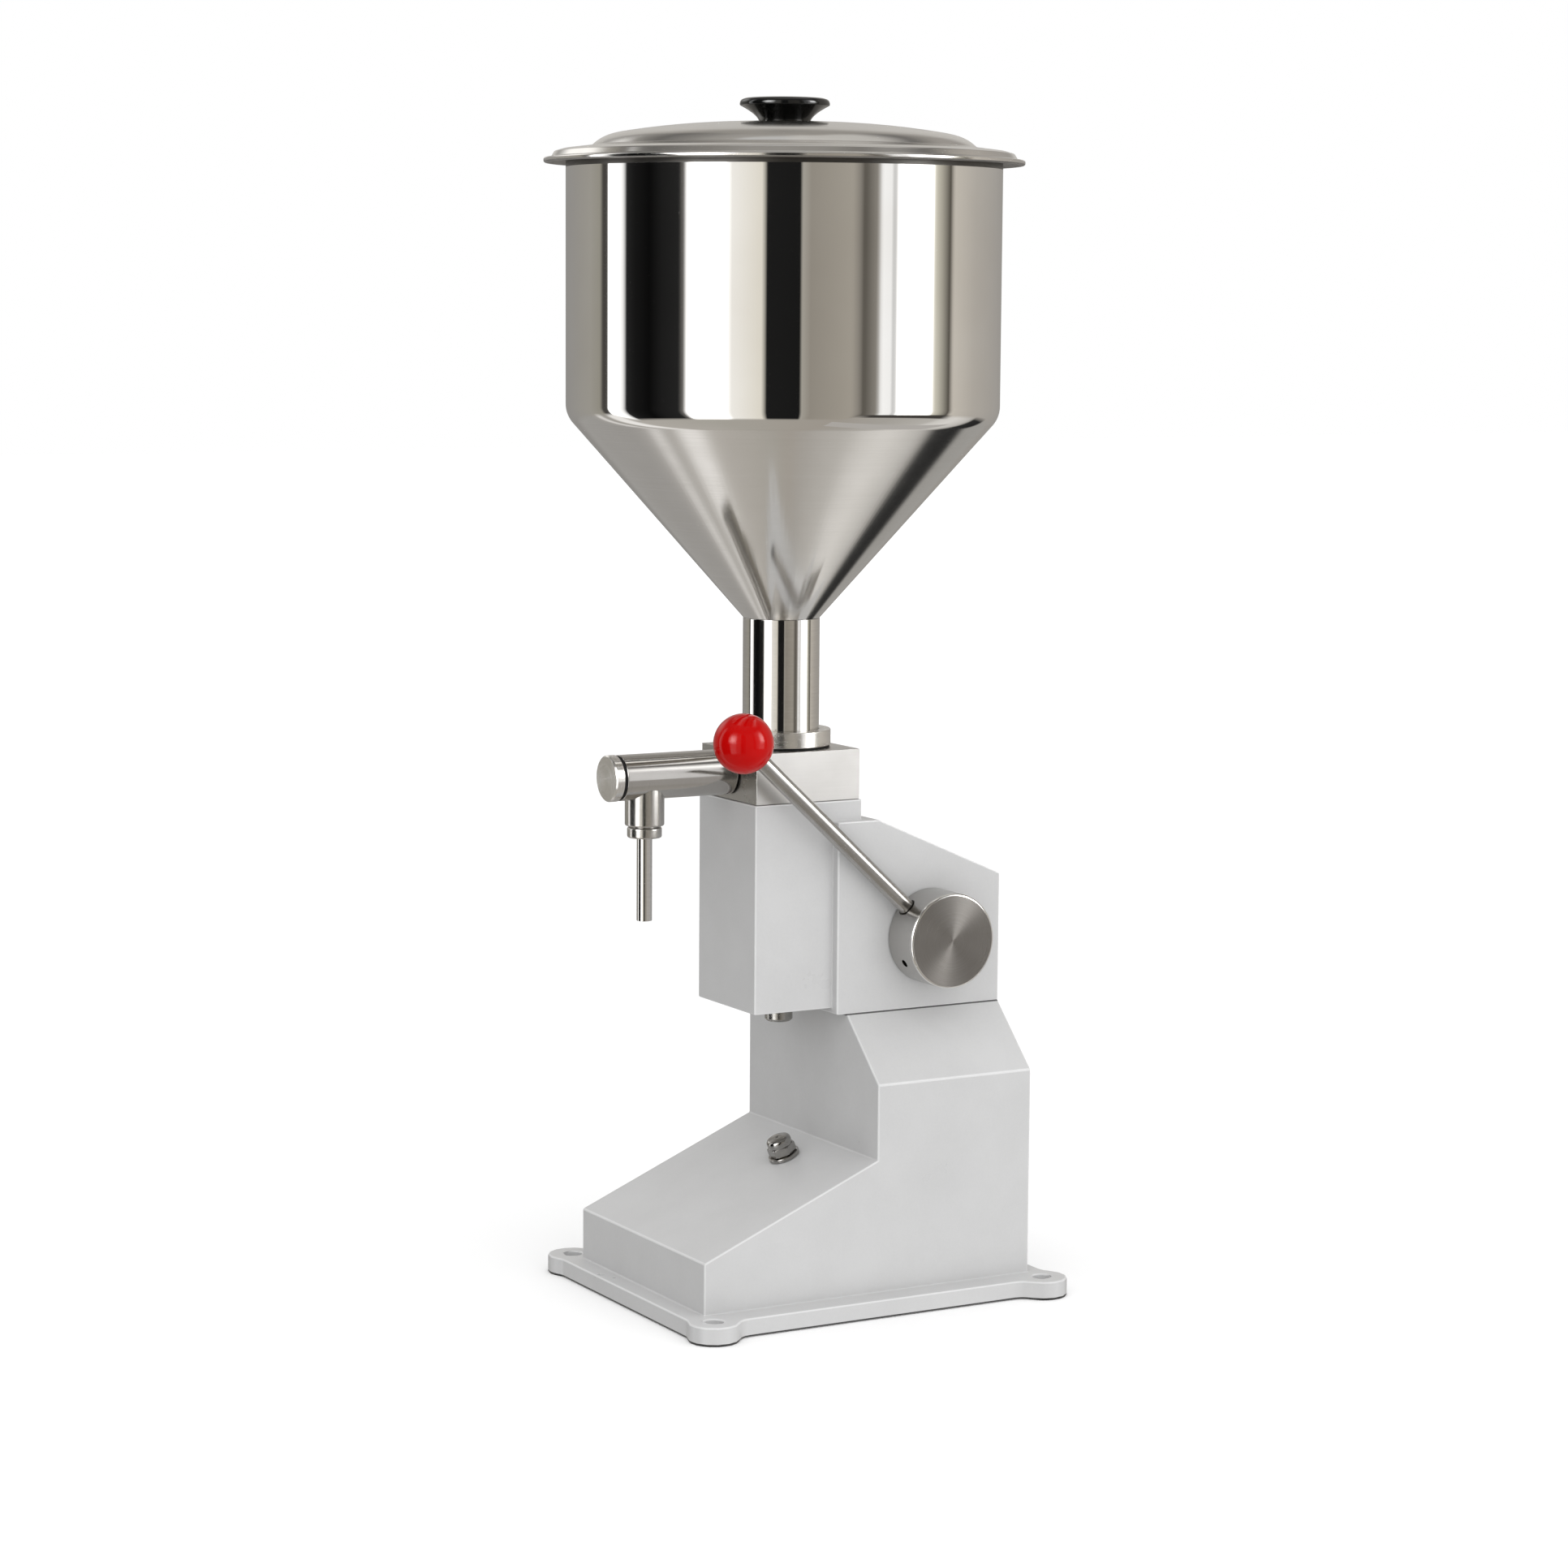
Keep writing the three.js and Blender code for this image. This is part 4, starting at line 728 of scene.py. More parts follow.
def make_tube(tube_steel, cap_steel, rubber):
    place = along_forward(tube_middle())
    rear, front, radius = lying("discharge_tube")
    bore, inside = 5.5, 11.0
    shoulder = rear + 8.0
    floor = shoulder + 3.0
    turned_piece("tube_body", [
        (bore, rear), (inside, rear, 0.4), (inside, shoulder), (radius, shoulder, 0.5),
        (radius, front, 0.5), (inside, front), (inside, floor), (bore, floor),
    ], place, [tube_steel], "base", "satin_steel", "discharge_tube")

    rear, front, radius = lying("end_cap_seal")
    turned_piece("cap_ring", ring(11.2, radius, rear, front, (0.0, 0.7, 0.7, 0.0)), place, [rubber],
                 "base", "black_rubber", "end_cap_seal")

    rear, front, radius = lying("end_cap")
    pocket, spigot, chamfer = 6.5, 10.8, 0.9
    floor, head = rear + 6.0, front - 6.0
    turned_piece("cap_body", [
        (0.0, floor), (pocket, floor), (pocket, rear), (spigot, rear),
        (spigot, head), (radius, head, 0.4), (radius, front - chamfer, 0.25),
        (radius - chamfer, front, 0.25), (0.0, front),
    ], place, [cap_steel], "base", "satin_steel", "end_cap")


NOZZLE_HOLE = 5.05
SADDLE_GAP = 0.05
SADDLE_LENGTH = 200.0


def make_nozzle(socket_steel, pipe_steel):
    centre = tube_middle()
    low, high = corners_of("outlet_socket")
    place = upright((0.0, (low.y + high.y) / 2.0, 0.0))
    foot, outer, bore = low.z, high.x, 8.55
    floor = foot + 12.2
    body = turned_mesh([
        (bore, foot), (outer, foot, 1.2), (outer, centre.z), (NOZZLE_HOLE, centre.z),
        (NOZZLE_HOLE, floor), (bore, floor),
    ])
    saddle = turned_mesh(bar(lying("discharge_tube")[2] + SADDLE_GAP, 0.0, SADDLE_LENGTH), sides=128)
    socket = joined_with(as_data(body, place), as_data(saddle, along_forward(centre)), "DIFFERENCE")
    dress("socket_body", socket, [socket_steel], "base", "satin_steel", "outlet_socket")

    foot, head, outer = standing("nozzle_nut")
    thread, top = 8.4, foot + 6.8
    turned_piece("nut_body", [
        (NOZZLE_HOLE, foot), (outer, foot, 1.3), (outer, top, 1.3), (thread, top),
        (thread, head), (NOZZLE_HOLE, head),
    ], place, [socket_steel], "base", "satin_steel", "nozzle_nut", sides=80)

    foot, head = standing("nozzle_tube")[:2]
    bore, outer, flange, under = 3.8, 4.9, 7.5, head - 2.0
    turned_piece("nozzle_body", [
        (bore, foot, 0.1), (outer, foot, 0.25), (outer, under), (flange, under),
        (flange, head), (bore, head),
    ], place, [pipe_steel], "base", "polished_steel", "nozzle_tube", sides=64)


# Lever
LEVER_RISE = math.radians(42.9)
SET_SCREW_TURN = math.radians(71.0)
ROD_RADIUS = 5.25
ROD_HOLE = ROD_RADIUS + 0.15
ROD_END = 186.1
HUB_RADIUS = 30.75
HUB_CUT = HUB_RADIUS + 5.0
SHAFT_BORE = 10.15


def joint_place(name):
    """Where a joint's axis stands, in millimetres."""
    joint = next(j for j in frame["joints"] if j["name"] == name)
    return Vector(joint["pos_m"]) / MM


def across_lever(node, turn=0.0):
    """Local Z along a radius of the hub, through a node's place along the shaft."""
    low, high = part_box(node)
    at = joint_place("lever_swing")
    middle = Matrix.Translation(((low.x + high.x) / 2.0 / MM, at.y, at.z))
    swing = Matrix.Rotation(turn - LEVER_RISE, 4, "X")
    return middle @ swing @ Matrix.Rotation(math.pi / 2.0, 4, "X")


def shaft_line():
    """Local Z along the lever's shaft."""
    at = joint_place("lever_swing")
    return along_x((0.0, at.y, at.z))


def make_hub(steels):
    low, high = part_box("lever_hub")
    back, front = low.x / MM, high.x / MM
    pocket = front - 7.0
    body = turned_mesh([
        (0.0, pocket), (SHAFT_BORE, pocket), (SHAFT_BORE, back),
        (HUB_RADIUS, back, 0.6), (HUB_RADIUS, front, 1.8), (0.0, front),
    ], sides=160, steps=8)
    data = as_data(body, shaft_line())
    rod_line, screw_line = across_lever("lever_rod"), across_lever("hub_set_screw", SET_SCREW_TURN)
    for radius, start, line in ((ROD_HOLE, 13.0, rod_line),
                                (ROD_RADIUS + 1.0, HUB_RADIUS - 3.0, rod_line),
                                (2.65, SHAFT_BORE, screw_line)):
        hole = turned_mesh(bar(radius, start, HUB_CUT), sides=40)
        data = joined_with(data, as_data(hole, line), "DIFFERENCE")

    def hub_finish(face):
        """0 the side, 1 the face, darkened as a painted dark reflection, 2 the rounded edge between them."""
        if face.center.x > (front - 0.02) * MM:
            return 1
        return 2 if face.center.x > (front - 2.1) * MM and face.normal.x > 0.05 else 0

    dress("hub_body", data, steels, "lever", "satin_steel", "lever_hub", choose=hub_finish)


def make_rod(rod_steel):
    turned_piece("lever_bar", bar(ROD_RADIUS, 13.3, ROD_END, 0.5), across_lever("lever_rod"),
                 [rod_steel], "lever", "satin_steel", "lever_rod", sides=64)


BALL_CENTRE = 194.0
BALL_STEPS = 40


def make_ball(red):
    low, high = corners_of("lever_ball")
    radius = (high.x - low.x) / 2.0
    last = math.pi - math.asin((ROD_HOLE + 0.5) / radius)
    corners = [(0.0, BALL_CENTRE + radius)]
    for k in range(1, BALL_STEPS + 1):
        angle = last * k / BALL_STEPS
        corners.append((radius * math.sin(angle), BALL_CENTRE + radius * math.cos(angle)))
    mouth, seat = corners[-1][1] + 0.4, ROD_END + 0.3
    corners += [(ROD_HOLE, mouth), (ROD_HOLE, seat), (0.0, seat)]
    grip = turned_piece("lever_grip", corners, across_lever("lever_rod"), [red], "lever",
                        "red_plastic", "lever_ball", sides=80)
    grip.visible_glossy = False


SHAFT_RADIUS = 10.0


def make_shaft_end(shaft_steel, washer_steel):
    low, high = corners_of("lever_shaft")
    ring_low, ring_high = corners_of("shaft_retaining_ring")
    left, right, floor = ring_low.x - 0.15, ring_high.x + 0.15, SHAFT_RADIUS - 0.9
    turned_piece("shaft_body", [
        (0.0, low.x), (SHAFT_RADIUS, low.x, 0.8), (SHAFT_RADIUS, left), (floor, left),
        (floor, right), (SHAFT_RADIUS, right), (SHAFT_RADIUS, high.x, 0.8),
        (0.0, high.x),
    ], shaft_line(), [shaft_steel], "lever", "dark_steel", "lever_shaft", sides=64)
    low, high = corners_of("shaft_washer")
    washer = ring(10.3, (high.z - low.z) / 2.0, low.x, high.x, (0.2, 0.3, 0.3, 0.2))
    turned_piece("washer_body", washer, shaft_line(), [washer_steel], "lever", "satin_steel",
                 "shaft_washer", sides=64)


# Stroke stop, with heights above the slope
HEX_BOTTOM = 3.1
HEX_TOP = 8.6
HEX_FLAT = 8.0
HEX_CHAMFER = 0.8
HEX_SIDES = 96
CAP_RADIUS = 8.2
CAP_TOP = 14.4
STUD_TOP = 10.8
STUD_BOTTOM = -46.2
STUD_RADIUS = 4.2
STUD_PITCH = 1.5
THREAD_START = 1.2


def stop_place():
    """The stroke stop's own axes: local Z is the slope's normal."""
    joint = next(j for j in frame["joints"] if j["name"] == "stop_turn")
    slope_turn = math.atan2(-joint["axis"][1], joint["axis"][2])
    return Matrix.Translation(joint_place("stop_turn")) @ Matrix.Rotation(slope_turn, 4, "X")


def hexagon_body():
    """The cap nut's hexagon, with its corners turned off at both ends."""
    corner = HEX_FLAT / math.cos(math.pi / 6.0)
    turned_off, half = corner - HEX_CHAMFER, HEX_CHAMFER / 2.0
    mesh = bmesh.new()
    rings = []
    for place, reach in ((HEX_BOTTOM, turned_off), (HEX_BOTTOM + half, corner),
                         (HEX_TOP - half, corner), (HEX_TOP, turned_off)):
        rings.append(points_round(mesh, place, HEX_SIDES, lambda angle: min(
            HEX_FLAT / math.cos(angle % (math.pi / 3.0) - math.pi / 6.0), reach)))
    for lower, upper in zip(rings, rings[1:]):
        skin(mesh, lower, upper)
    mesh.faces.new(rings[-1])
    mesh.faces.new(list(reversed(rings[0])))
    bmesh.ops.recalc_face_normals(mesh, faces=mesh.faces)
    return mesh


def make_stop_nut(nut_steel):
    """A cap nut: a short hexagon under a wide barrel with a rounded, flattened and dimpled top."""
    neck, dimple = 7.9, CAP_TOP - 0.5
    cap = turned_mesh([
        (0.0, HEX_TOP - 1.0), (neck, HEX_TOP - 1.0), (neck, HEX_TOP + 0.1),
        (CAP_RADIUS, HEX_TOP + 2.2, 2.0), (CAP_RADIUS - 0.2, CAP_TOP - 0.4, 2.4),
        (3.0, CAP_TOP, 1.5), (1.4, CAP_TOP, 0.3), (0.9, dimple, 0.2), (0.0, dimple),
    ])
    place = stop_place()
    nut = joined_with(as_data(hexagon_body(), place), as_data(cap, place), "UNION")
    dress("stop_cap", nut, [nut_steel], "stop_nut", "satin_steel", "adjuster_nut", sharp=24.0)


def make_stop_washer(washer_steel):
    washer = ring(5.3, 10.3, 0.3, 2.7, (0.2, 0.3, 0.5, 0.3))
    turned_piece("stop_washer", washer, stop_place(), [washer_steel], "base", "satin_steel",
                 "adjuster_washer", sides=80)


def make_stud(stud_steel):
    """The stud's core with its thread wound round it."""
    stud = turned_mesh(bar(STUD_RADIUS, STUD_BOTTOM, STUD_TOP, 0.5), sides=48)
    length = STUD_TOP - STUD_BOTTOM - 2.0 * THREAD_START
    thread = coil_mesh("stud_thread", stud_steel, {
        "Radius": STUD_RADIUS - 0.1, "Height": length, "Turns": length / STUD_PITCH,
        "Steps per turn": 36, "Wire radius": 0.9, "Wire sides": 3,
    })
    thread.transform(upright((0.0, 0.0, STUD_BOTTOM + THREAD_START)))
    stud.from_mesh(thread)
    dress("stop_thread", as_data(stud, stop_place()), [stud_steel], "stop_stud", "dark_steel",
          "adjuster_stud")


SPRING_WIRE = 0.7


def make_outlet_spring(spring_steel):
    """The coil that presses the discharge ball on its seat, along the tube."""
    low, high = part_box("outlet_spring")
    coil = coil_mesh("outlet_coil", spring_steel, {
        "Radius": 5.0, "Height": (high.y - low.y) / MM - 2.0 * SPRING_WIRE, "Turns": 8.0,
        "Steps per turn": 36, "Wire radius": SPRING_WIRE, "Wire sides": 12,
    })
    start = (0.0, high.y / MM - SPRING_WIRE, (low.z + high.z) / 2.0 / MM)
    coil.transform(Matrix.Scale(MM, 4) @ along_forward(start))
    spring = dress("spring_coil", coil, [spring_steel], "base", "dark_steel", "outlet_spring",
                   sharp=50.0)
    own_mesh(spring)


def make_piston_rod(rod_steel):
    rod = rounded_copy("piston_rod", width=0.4)
    dress("rod_body", rod, [rod_steel], "piston", "satin_steel", "piston_rod")


# Stage
FLOOR_REACH = 12.0
FLOOR_GLOW = 0.06
CARD_MIDDLE = Vector((0.325, 0.243, 0.0))
CARD_HALF = Vector((-0.53, 0.85, 0.0)) * 0.33
CARD_FOOT = Vector((0.0, 0.0, 0.002))
CARD_TOP = Vector((0.0, 0.0, 0.26))
CARD_GLOW = 0.50


def stage_sheet(name, material, corners):
    """A flat sheet of the studio, which isn't part of the object."""
    mesh = bpy.data.meshes.new(name)
    mesh.from_pydata(corners, [], [tuple(range(len(corners)))])
    mesh.materials.append(material)
    sheet = placed(name, mesh)
    return sheet


def make_floor():
    """A white floor that glows a little, so that it stays white as far as it goes."""
    material, wires, shader, place = new_material("floor")
    cloud = wires.noise(place, 3.0, 2.0)
    wires.fill(shader, {
        "Base Color": wires.ramp(cloud, [(0.0, 0.94), (1.0, 0.95)]), "Roughness": 0.9,
        "Specular IOR Level": 0.0, "Emission Color": solid(1.0), "Emission Strength": FLOOR_GLOW,
    })
    corners = ((-1.0, -1.0, 0.0), (1.0, -1.0, 0.0), (1.0, 1.0, 0.0), (-1.0, 1.0, 0.0))
    floor = stage_sheet("floor", material, [Vector(corner) * FLOOR_REACH for corner in corners])
    floor.visible_glossy = False
    floor.visible_diffuse = False


def make_hub_card():
    """A dim card low beside the lever hub, seen only in reflections."""
    material = bpy.data.materials.new("hub_card")
    material.use_nodes = True
    tree = material.node_tree
    tree.nodes.remove(tree.nodes["Principled BSDF"])
    wires = Wiring(tree)
    glow = wires.node("ShaderNodeEmission", {"Color": (1.0, 0.96, 0.92, 1.0), "Strength": CARD_GLOW})
    wires.feed(tree.nodes["Material Output"].inputs["Surface"], glow.outputs[0])
    left, right = CARD_MIDDLE - CARD_HALF, CARD_MIDDLE + CARD_HALF
    card = stage_sheet("hub_card", material, [
        left + CARD_FOOT, right + CARD_FOOT, right + CARD_TOP, left + CARD_TOP,
    ])
    card.visible_camera = False
    card.visible_diffuse = False
    card.visible_shadow = False


# Bearings around the camera, in degrees to its right, where each panel of the studio starts
WHITE = 2.4
WALL_PANELS = [
    (-180, (0.27, 0.262, 0.25)), (-150, (0.33, 0.32, 0.305)), (-122, (0.38, 0.365, 0.33)),
    (-112, (0.34, 0.325, 0.28)), (-109.5, (0.07, 0.065, 0.06)), (-105.5, (0.07, 0.065, 0.06)),
    (-104, WHITE), (-92, 0.95), (-90.5, 0.022), (-84, 0.010), (-74, 0.004), (-66, 0.014),
    (-56, 0.020), (-53, (0.20, 0.19, 0.18)), (-50, WHITE), (-31, WHITE), (-27.5, (1.02, 1.0, 0.96)),
    (-10.5, (0.85, 0.81, 0.72)), (-9, 0.014), (8.8, 0.012), (9.8, (0.44, 0.42, 0.375)),
    (14, (0.34, 0.315, 0.275)), (36, (0.42, 0.39, 0.34)), (40, (0.28, 0.26, 0.23)),
    (42.5, (0.11, 0.10, 0.085)), (50, (0.30, 0.28, 0.25)), (52.5, 1.1), (58, 1.05), (59.5, 0.58),
    (61, 0.9), (63, WHITE),
]
BACK_START = 83.0
BACK_PANELS = [
    (83.5, WHITE), (86, (0.75, 0.72, 0.62)), (97, (0.10, 0.09, 0.075)), (100.5, (0.64, 0.60, 0.54)),
    (120, (0.50, 0.47, 0.43)), (150, (0.40, 0.38, 0.355)), (180, (0.30, 0.285, 0.265)),
]
LOW_PANELS = [
    (-180, (0.38, 0.37, 0.355)), (-130, (0.38, 0.37, 0.355)), (-124, (0.42, 0.405, 0.385)),
    (-121, (0.78, 0.76, 0.74)), (-118.5, (0.78, 0.76, 0.74)), (-116, (0.40, 0.385, 0.36)),
    (-112.5, (0.44, 0.42, 0.39)), (-109, (0.96, 0.94, 0.92)), (-102, (0.97, 0.95, 0.93)),
    (-97, (0.50, 0.475, 0.44)), (-40, (0.44, 0.42, 0.38)), (30, (0.42, 0.39, 0.35)),
    (62, (0.44, 0.42, 0.39)), (93, (0.54, 0.52, 0.49)), (100, (0.72, 0.70, 0.67)),
    (110, (0.80, 0.78, 0.75)), (118, (0.70, 0.68, 0.65)), (124, (0.60, 0.585, 0.56)),
    (127.5, (0.44, 0.425, 0.40)), (130, 0.03), (143, 0.02), (146, (0.38, 0.37, 0.35)),
    (180, (0.38, 0.37, 0.355)),
]

# Panels by the upward part of the direction
CEILING_PANELS = [
    (0.55, (0.34, 0.325, 0.30)), (0.75, (0.16, 0.155, 0.15)), (0.87, (0.25, 0.24, 0.225)),
    (0.90, (0.34, 0.33, 0.31)), (0.955, (0.38, 0.365, 0.34)), (0.97, 0.6),
]
FAR_WALL = [(0.45, (0.60, 0.58, 0.55)), (0.70, (0.36, 0.345, 0.32))]
CEILING_RIGHT = (0.66, 0.645, 0.62)
TABLE_EDGE = (0.06, 0.055, 0.05)
LEFT_LAMP = (1.3, 1.28, 1.25)
WINDOW = 16.0
WINDOW_AGAIN = 2.4
SECOND_REFLECTION = 2.5

# Soft light on the paint: the same from everywhere, more from above, more from the lever's side
LIGHT_ALL_ROUND = 0.44
LIGHT_FROM_ABOVE = 0.78
LIGHT_FROM_SIDE = 0.80


def at_bearing(angle):
    """The place of a bearing in degrees on a ramp over the full turn."""
    return (angle + 180.0) / 360.0


class Room(Wiring):
    """What a ray meets in the studio, by its bearing and by its upward part."""

    def __init__(self, tree):
        super().__init__(tree)
        self.direction = self.node("ShaderNodeTexCoord").outputs["Generated"]
        towards = self.part_along((math.sin(CAMERA_AZIMUTH), -math.cos(CAMERA_AZIMUTH), 0.0))
        rightwards = self.part_along((math.cos(CAMERA_AZIMUTH), math.sin(CAMERA_AZIMUTH), 0.0))
        self.upwards = self.part_along((0.0, 0.0, 1.0))
        turn = self.math("ARCTAN2", rightwards, towards)
        self.bearing = self.span(turn, -math.pi, math.pi, 0.0, 1.0)

    def part_along(self, axis):
        return self.vectors("DOT_PRODUCT", self.direction, axis)["Value"]

    def panels(self, stops):
        """Colours between (bearing in degrees, colour) stops."""
        return self.ramp(self.bearing, [(at_bearing(angle), colour) for angle, colour in stops])

    def patch(self, panels, colour, widths, heights):
        """The panels with a soft edged patch over them, by bearing and by upward part."""
        share = self.times(self.panels(widths), self.ramp(self.upwards, heights))
        return self.mix(share, panels, colour)


def ceiling_panels(room):
    """Overhead panels, lighter to the right."""
    overhead = room.ramp(room.upwards, CEILING_PANELS)
    right = room.panels([(-180, 0.15), (60, 0.0), (96, 1.0), (168, 0.9), (180, 0.15)])
    share = room.times(right, room.span(room.upwards, 0.74, 0.86, 0.0, 1.0))
    return room.mix(share, overhead, solid(CEILING_RIGHT))


def stacked_panels(room):
    """The wall, with the low panels under it and the ceiling above it."""
    is_back = room.math("GREATER_THAN", room.bearing, at_bearing(BACK_START))
    wall = room.mix(is_back, room.panels(WALL_PANELS), room.panels(BACK_PANELS))
    low_start = room.panels([(-104, 0.29), (-94, 0.52), (34, 0.52), (42, 0.29)])
    is_low = room.span(room.plus(room.upwards, low_start), 0.05, -0.05, 0.0, 1.0)
    is_high = room.span(room.upwards, 0.55, 0.72, 0.0, 1.0)
    below = room.mix(is_low, wall, room.panels(LOW_PANELS))
    return room.mix(is_high, below, ceiling_panels(room))


def with_table_edge(room, panels):
    """A dark edge low at the right."""
    downwards = room.span(room.upwards, -0.5, 0.0, 0.0, 1.0)
    height = room.ramp(downwards, [(0.18, 0.0), (0.26, 1.0), (0.50, 1.0), (0.56, 0.0)])
    width = room.panels([(38, 0.0), (48, 1.0), (96, 1.0), (104, 0.0)])
    return room.mix(room.times(height, width), panels, solid(TABLE_EDGE))


def with_windows(room, panels, ray_depth):
    """Two bright windows, dimmer where steel shows them through a second reflection."""
    mirrored_again = room.math("GREATER_THAN", ray_depth, SECOND_REFLECTION)
    light = room.mix(mirrored_again, solid(WINDOW), solid(WINDOW_AGAIN))
    return room.patch(panels, light, [
        (-62, 0.0), (-46, 1.0), (-38, 0.9), (-24, 0.0), (68, 0.0), (72, 0.8), (84, 0.8), (90, 0.0),
    ], [(0.05, 0.0), (0.22, 1.0), (0.40, 0.9), (0.60, 0.0)])


def with_left_lamp(room, panels):
    """A lamp at the left."""
    return room.patch(panels, solid(LEFT_LAMP), [(-160, 0.0), (-146, 1.0), (-126, 1.0), (-114, 0.0)],
                      [(0.14, 0.0), (0.34, 1.0), (0.52, 1.0), (0.62, 0.0)])


def with_far_wall(room, panels):
    """The wall opposite the camera."""
    return room.patch(panels, room.ramp(room.upwards, FAR_WALL), [
        (-180, 0.75), (-174.96, 1.0), (-165.6, 1.0), (-158.4, 0.0),
        (158.4, 0.0), (165.6, 1.0), (174.96, 1.0), (180, 0.75),
    ], [(0.04, 0.0), (0.07, 1.0), (0.91, 1.0), (0.95, 0.0)])


def paint_light(room):
    """How strong the soft light is from each direction."""
    from_above = room.times(room.math("MAXIMUM", room.upwards, 0.0), LIGHT_FROM_ABOVE)
    sideways = room.math("MAXIMUM", room.part_along((1.0, 0.0, 0.0)), 0.0)
    from_side = room.times(sideways, LIGHT_FROM_SIDE)
    return room.plus(room.plus(from_above, from_side), LIGHT_ALL_ROUND)


def make_studio():
    """White backdrop for the camera, soft light for the paint, panels for the reflections."""
    world = bpy.data.worlds.new("studio")
    bpy.context.scene.world = world
    world.cycles.sampling_method = "NONE"
    world.use_nodes = True
    world.node_tree.nodes.clear()
    room = Room(world.node_tree)
    rays = room.node("ShaderNodeLightPath").outputs
    panels = with_table_edge(room, stacked_panels(room))
    panels = with_windows(room, panels, rays["Ray Depth"])
    panels = with_far_wall(room, with_left_lamp(room, panels))

    def light(colour, strength):
        return room.node("ShaderNodeBackground", {"Color": colour, "Strength": strength}).outputs[0]

    def either(share, first, second):
        return room.node("ShaderNodeMixShader", {0: share, 1: first, 2: second}).outputs[0]

    seen = either(rays["Is Glossy Ray"], light(solid(1.0), paint_light(room)), light(panels, 1.0))
    whole = either(rays["Is Camera Ray"], seen, light(solid(1.0), 1.0))
    room.node("ShaderNodeOutputWorld", {"Surface": whole})


BLOCK_GRAIN = (60.0, 30.0, 900.0)
MIDDLE = (0.0, 0.0, 0.0)


def record_finishes():
    """One material for each finish of the record, used by the nodes that are shown as they are."""
    return {
        "light_enamel": enamel("light_enamel", (0.555, 0.59)),
        "satin_steel": steel("satin_steel", (0.2, 0.3), (90.0, 90.0, 1400.0), 0.003),
        "polished_steel": steel("polished_steel", (0.05, 0.1)),
        "dark_steel": steel("dark_steel", (0.32, 0.45), (700.0, 700.0, 700.0), 0.006,
                            tone=((0.22, 0.215, 0.21), (0.34, 0.33, 0.32))),
        "bronze": steel("bronze", (0.25, 0.38), (500.0, 500.0, 1500.0), 0.005,
                        tone=((0.42, 0.27, 0.11), (0.60, 0.41, 0.19))),
        "black_rubber": plastic("black_rubber", 0.006, 0.012, (0.5, 0.6), shine=0.15),
        "pale_seal": plastic("pale_seal", (0.74, 0.74, 0.71), (0.82, 0.82, 0.79), (0.4, 0.5)),
        "black_plastic": plastic("black_plastic", 0.004, 0.007, (0.08, 0.12), wear=0.0002),
        "red_plastic": plastic("red_plastic", (0.47, 0.0012, 0.0012), (0.51, 0.0016, 0.0014),
                               (0.11, 0.14), wear=0.0003, shine=0.2),
    }


def casting_paints():
    """The lighter paint of rounded edges, a painted highlight, and the dark paints of the painted shade in the
    joint and the painted contact shadow along the foot.
    """
    return [enamel("edge_highlight_enamel", (0.66, 0.70)), enamel("joint_shade_enamel", (0.10, 0.13)),
            enamel("foot_shadow_enamel", (0.03, 0.05))]


def block_finishes():
    """The block's own steel, and a darker copy of it for its front, painted shade and dark reflection."""
    return [steel(name, roughness, BLOCK_GRAIN, 0.0004, tone, grain_share=0.25)
            for name, roughness, tone in (
                ("block_steel", (0.30, 0.36), ((0.60, 0.59, 0.575), (0.65, 0.64, 0.625))),
                ("block_front_shade_steel", (0.26, 0.32), ((0.42, 0.41, 0.395), (0.47, 0.46, 0.445))))]


def bowl_finishes():
    """Wall, cone and a darker rim, painted shade under the lid."""
    return [polished_bowl(),
            turned_steel("cone_steel", MIDDLE, "Z", (0.09, 0.13), 0.001, rings=2600.0, anisotropy=0.3,
                         tone=((0.77, 0.755, 0.73), (0.82, 0.805, 0.785))),
            steel("bowl_rim_shade_steel", (0.3, 0.4), tone=((0.10, 0.095, 0.09), (0.14, 0.135, 0.125)))]


def lid_finishes():
    """Top, and a darker underside as painted shade."""
    return [turned_steel("lid_steel", MIDDLE, "Z", (0.10, 0.16), rings=1600.0),
            steel("lid_under_shade_steel", (0.3, 0.4), tone=((0.30, 0.29, 0.28), (0.36, 0.35, 0.34)))]


def discharge_finishes():
    """Pipe, socket, discharge tube and end cap."""
    middle = tube_middle() * MM
    return [steel("pipe_steel", (0.05, 0.09), tone=((0.66, 0.645, 0.62), (0.72, 0.705, 0.68))),
            steel("socket_steel", (0.17, 0.23), tone=((0.54, 0.525, 0.50), (0.60, 0.585, 0.56))),
            turned_steel("tube_steel", middle, "Y", (0.10, 0.16), 0.001, rings=2400.0,
                         tone=((0.49, 0.475, 0.455), (0.54, 0.525, 0.505))),
            turned_steel("cap_steel", middle, "Y", (0.22, 0.3), anisotropy=0.75)]


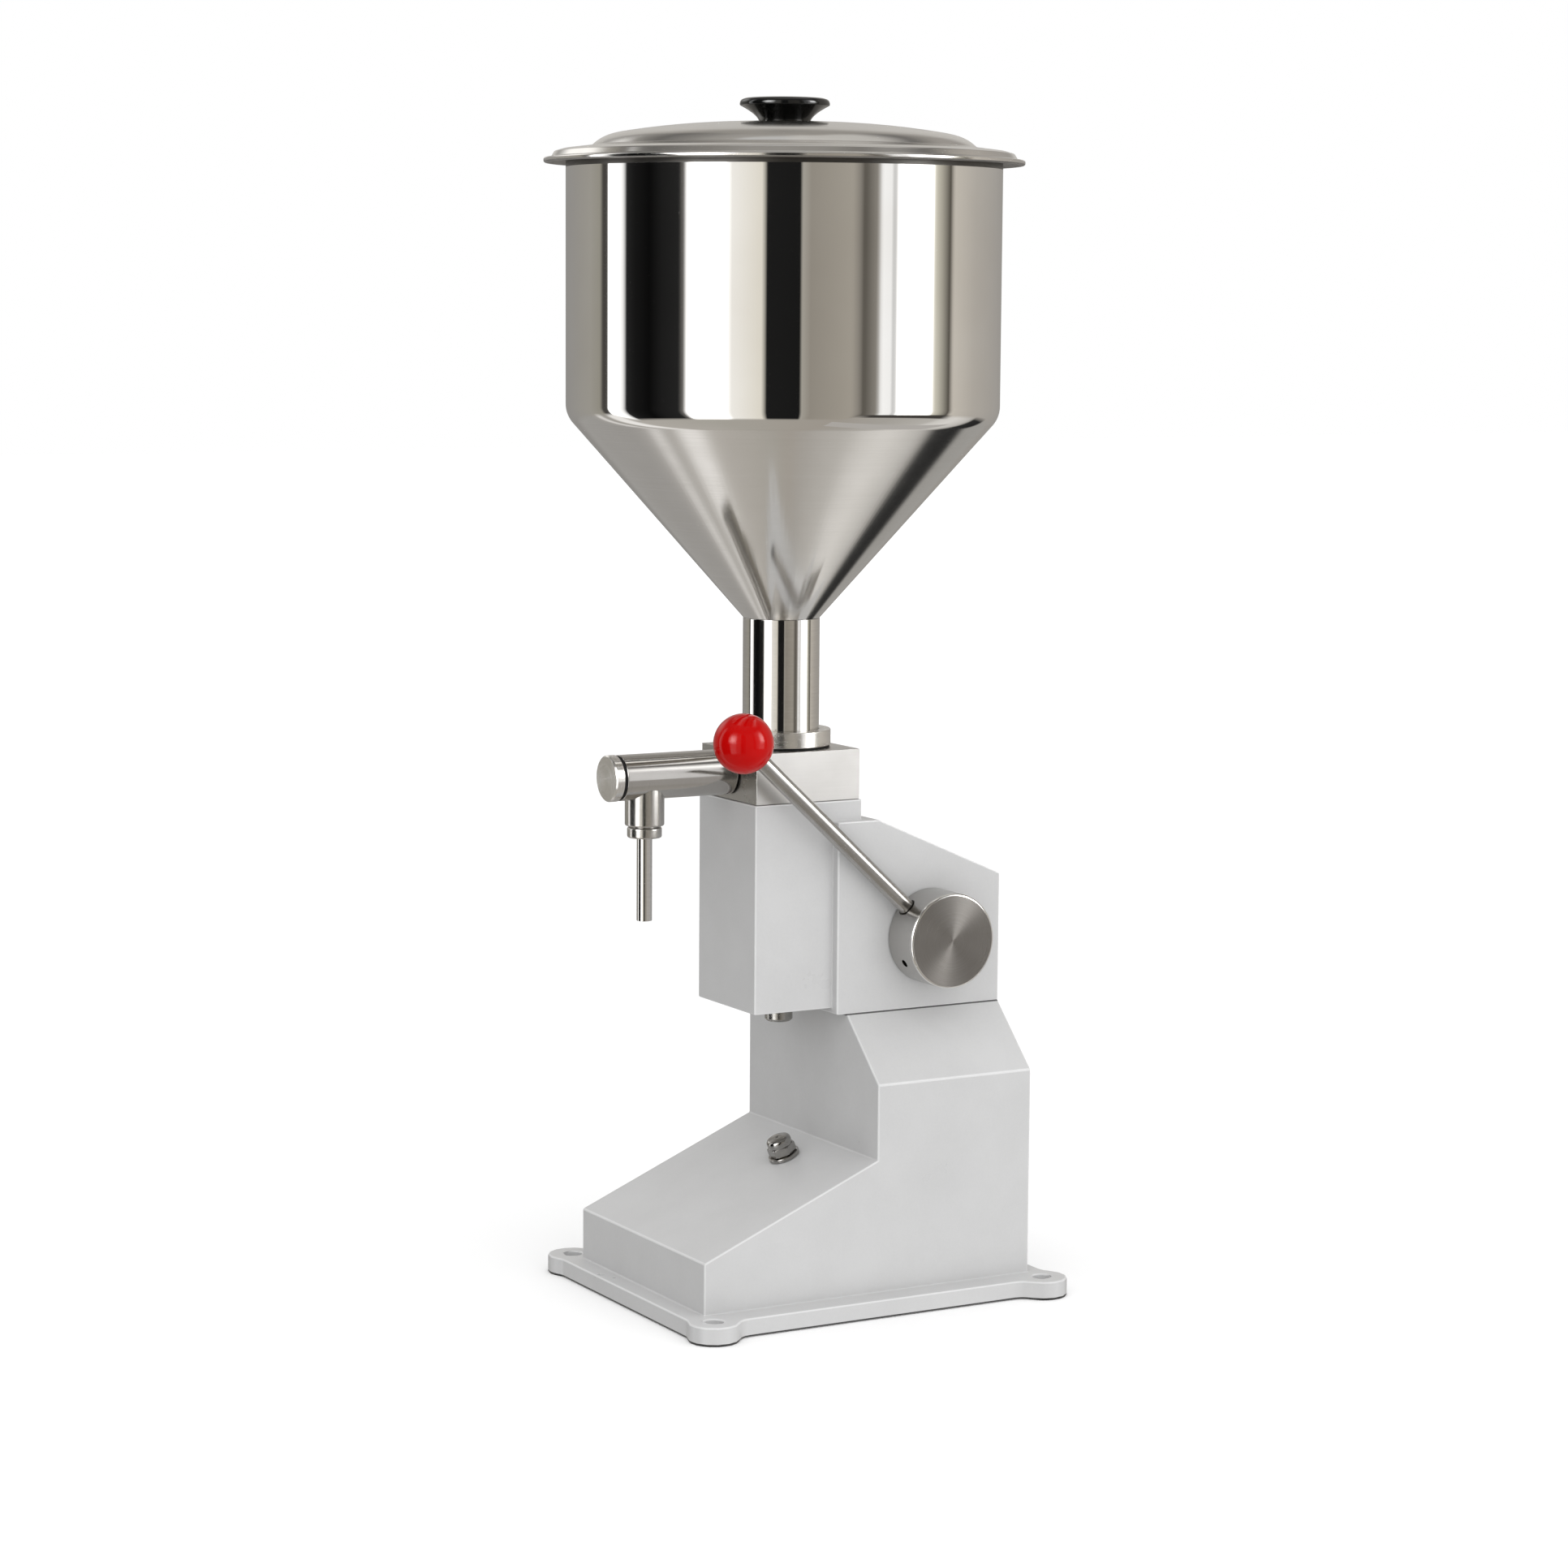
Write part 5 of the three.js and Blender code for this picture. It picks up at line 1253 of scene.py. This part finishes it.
def hub_finishes():
    """Side, face and the rounded edge between them; the face is a darker copy, a painted dark reflection."""
    at = joint_place("lever_swing") * MM
    middle = (0.0, at.y, at.z)
    return [turned_steel("hub_steel", middle, "X", (0.20, 0.24), 0.0006, anisotropy=0.3,
                         tone=((0.44, 0.43, 0.415), (0.51, 0.50, 0.485))),
            turned_steel("hub_face_dark_reflection_steel", middle, "X", (0.26, 0.34), anisotropy=0.8,
                         tone=((0.25, 0.238, 0.225), (0.31, 0.297, 0.28))),
            steel("hub_edge_steel", (0.10, 0.15), (200.0, 200.0, 200.0), 0.001,
                  tone=((0.76, 0.75, 0.73), (0.82, 0.81, 0.79)))]


def lever_finishes():
    """Lever rod, stop nut and piston rod."""
    return [steel("rod_steel", (0.14, 0.22), (300.0, 90.0, 90.0), 0.002,
                  tone=((0.42, 0.41, 0.395), (0.48, 0.47, 0.455))),
            steel("nut_steel", (0.10, 0.16), (300.0, 300.0, 300.0), 0.002,
                  tone=((0.31, 0.30, 0.285), (0.38, 0.37, 0.355))),
            steel("piston_rod_steel", (0.20, 0.28), tone=((0.36, 0.35, 0.33), (0.43, 0.42, 0.40)))]


def dress_nodes(finishes):
    """Gives every node of the frame the finish that the record names for it."""
    for entry in frame["record"]["subparts"]:
        node = frame["nodes"][entry["node"]]
        node.data.materials.clear()
        node.data.materials.append(finishes[entry["material_slot"]])


def main():
    make_camera()
    finishes = record_finishes()
    dress_nodes(finishes)
    paint, satin, dark = (finishes[name] for name in ("light_enamel", "satin_steel", "dark_steel"))
    pipe_steel, socket_steel, tube_steel, cap_steel = discharge_finishes()
    rod_steel, nut_steel, piston_steel = lever_finishes()
    make_castings([paint] + casting_paints(), block_finishes())
    make_bowl(bowl_finishes())
    make_neck(pipe_steel, satin)
    make_lid(lid_finishes())
    make_knob(finishes["black_plastic"])
    make_tube(tube_steel, cap_steel, finishes["black_rubber"])
    make_nozzle(socket_steel, pipe_steel)
    make_hub(hub_finishes())
    make_rod(rod_steel)
    make_ball(finishes["red_plastic"])
    make_shaft_end(dark, satin)
    make_stop_washer(nut_steel)
    make_stop_nut(nut_steel)
    make_stud(dark)
    make_outlet_spring(dark)
    make_piston_rod(piston_steel)
    make_floor()
    make_hub_card()
    make_studio()
    bpy.context.scene.view_settings.view_transform = "Standard"


main()
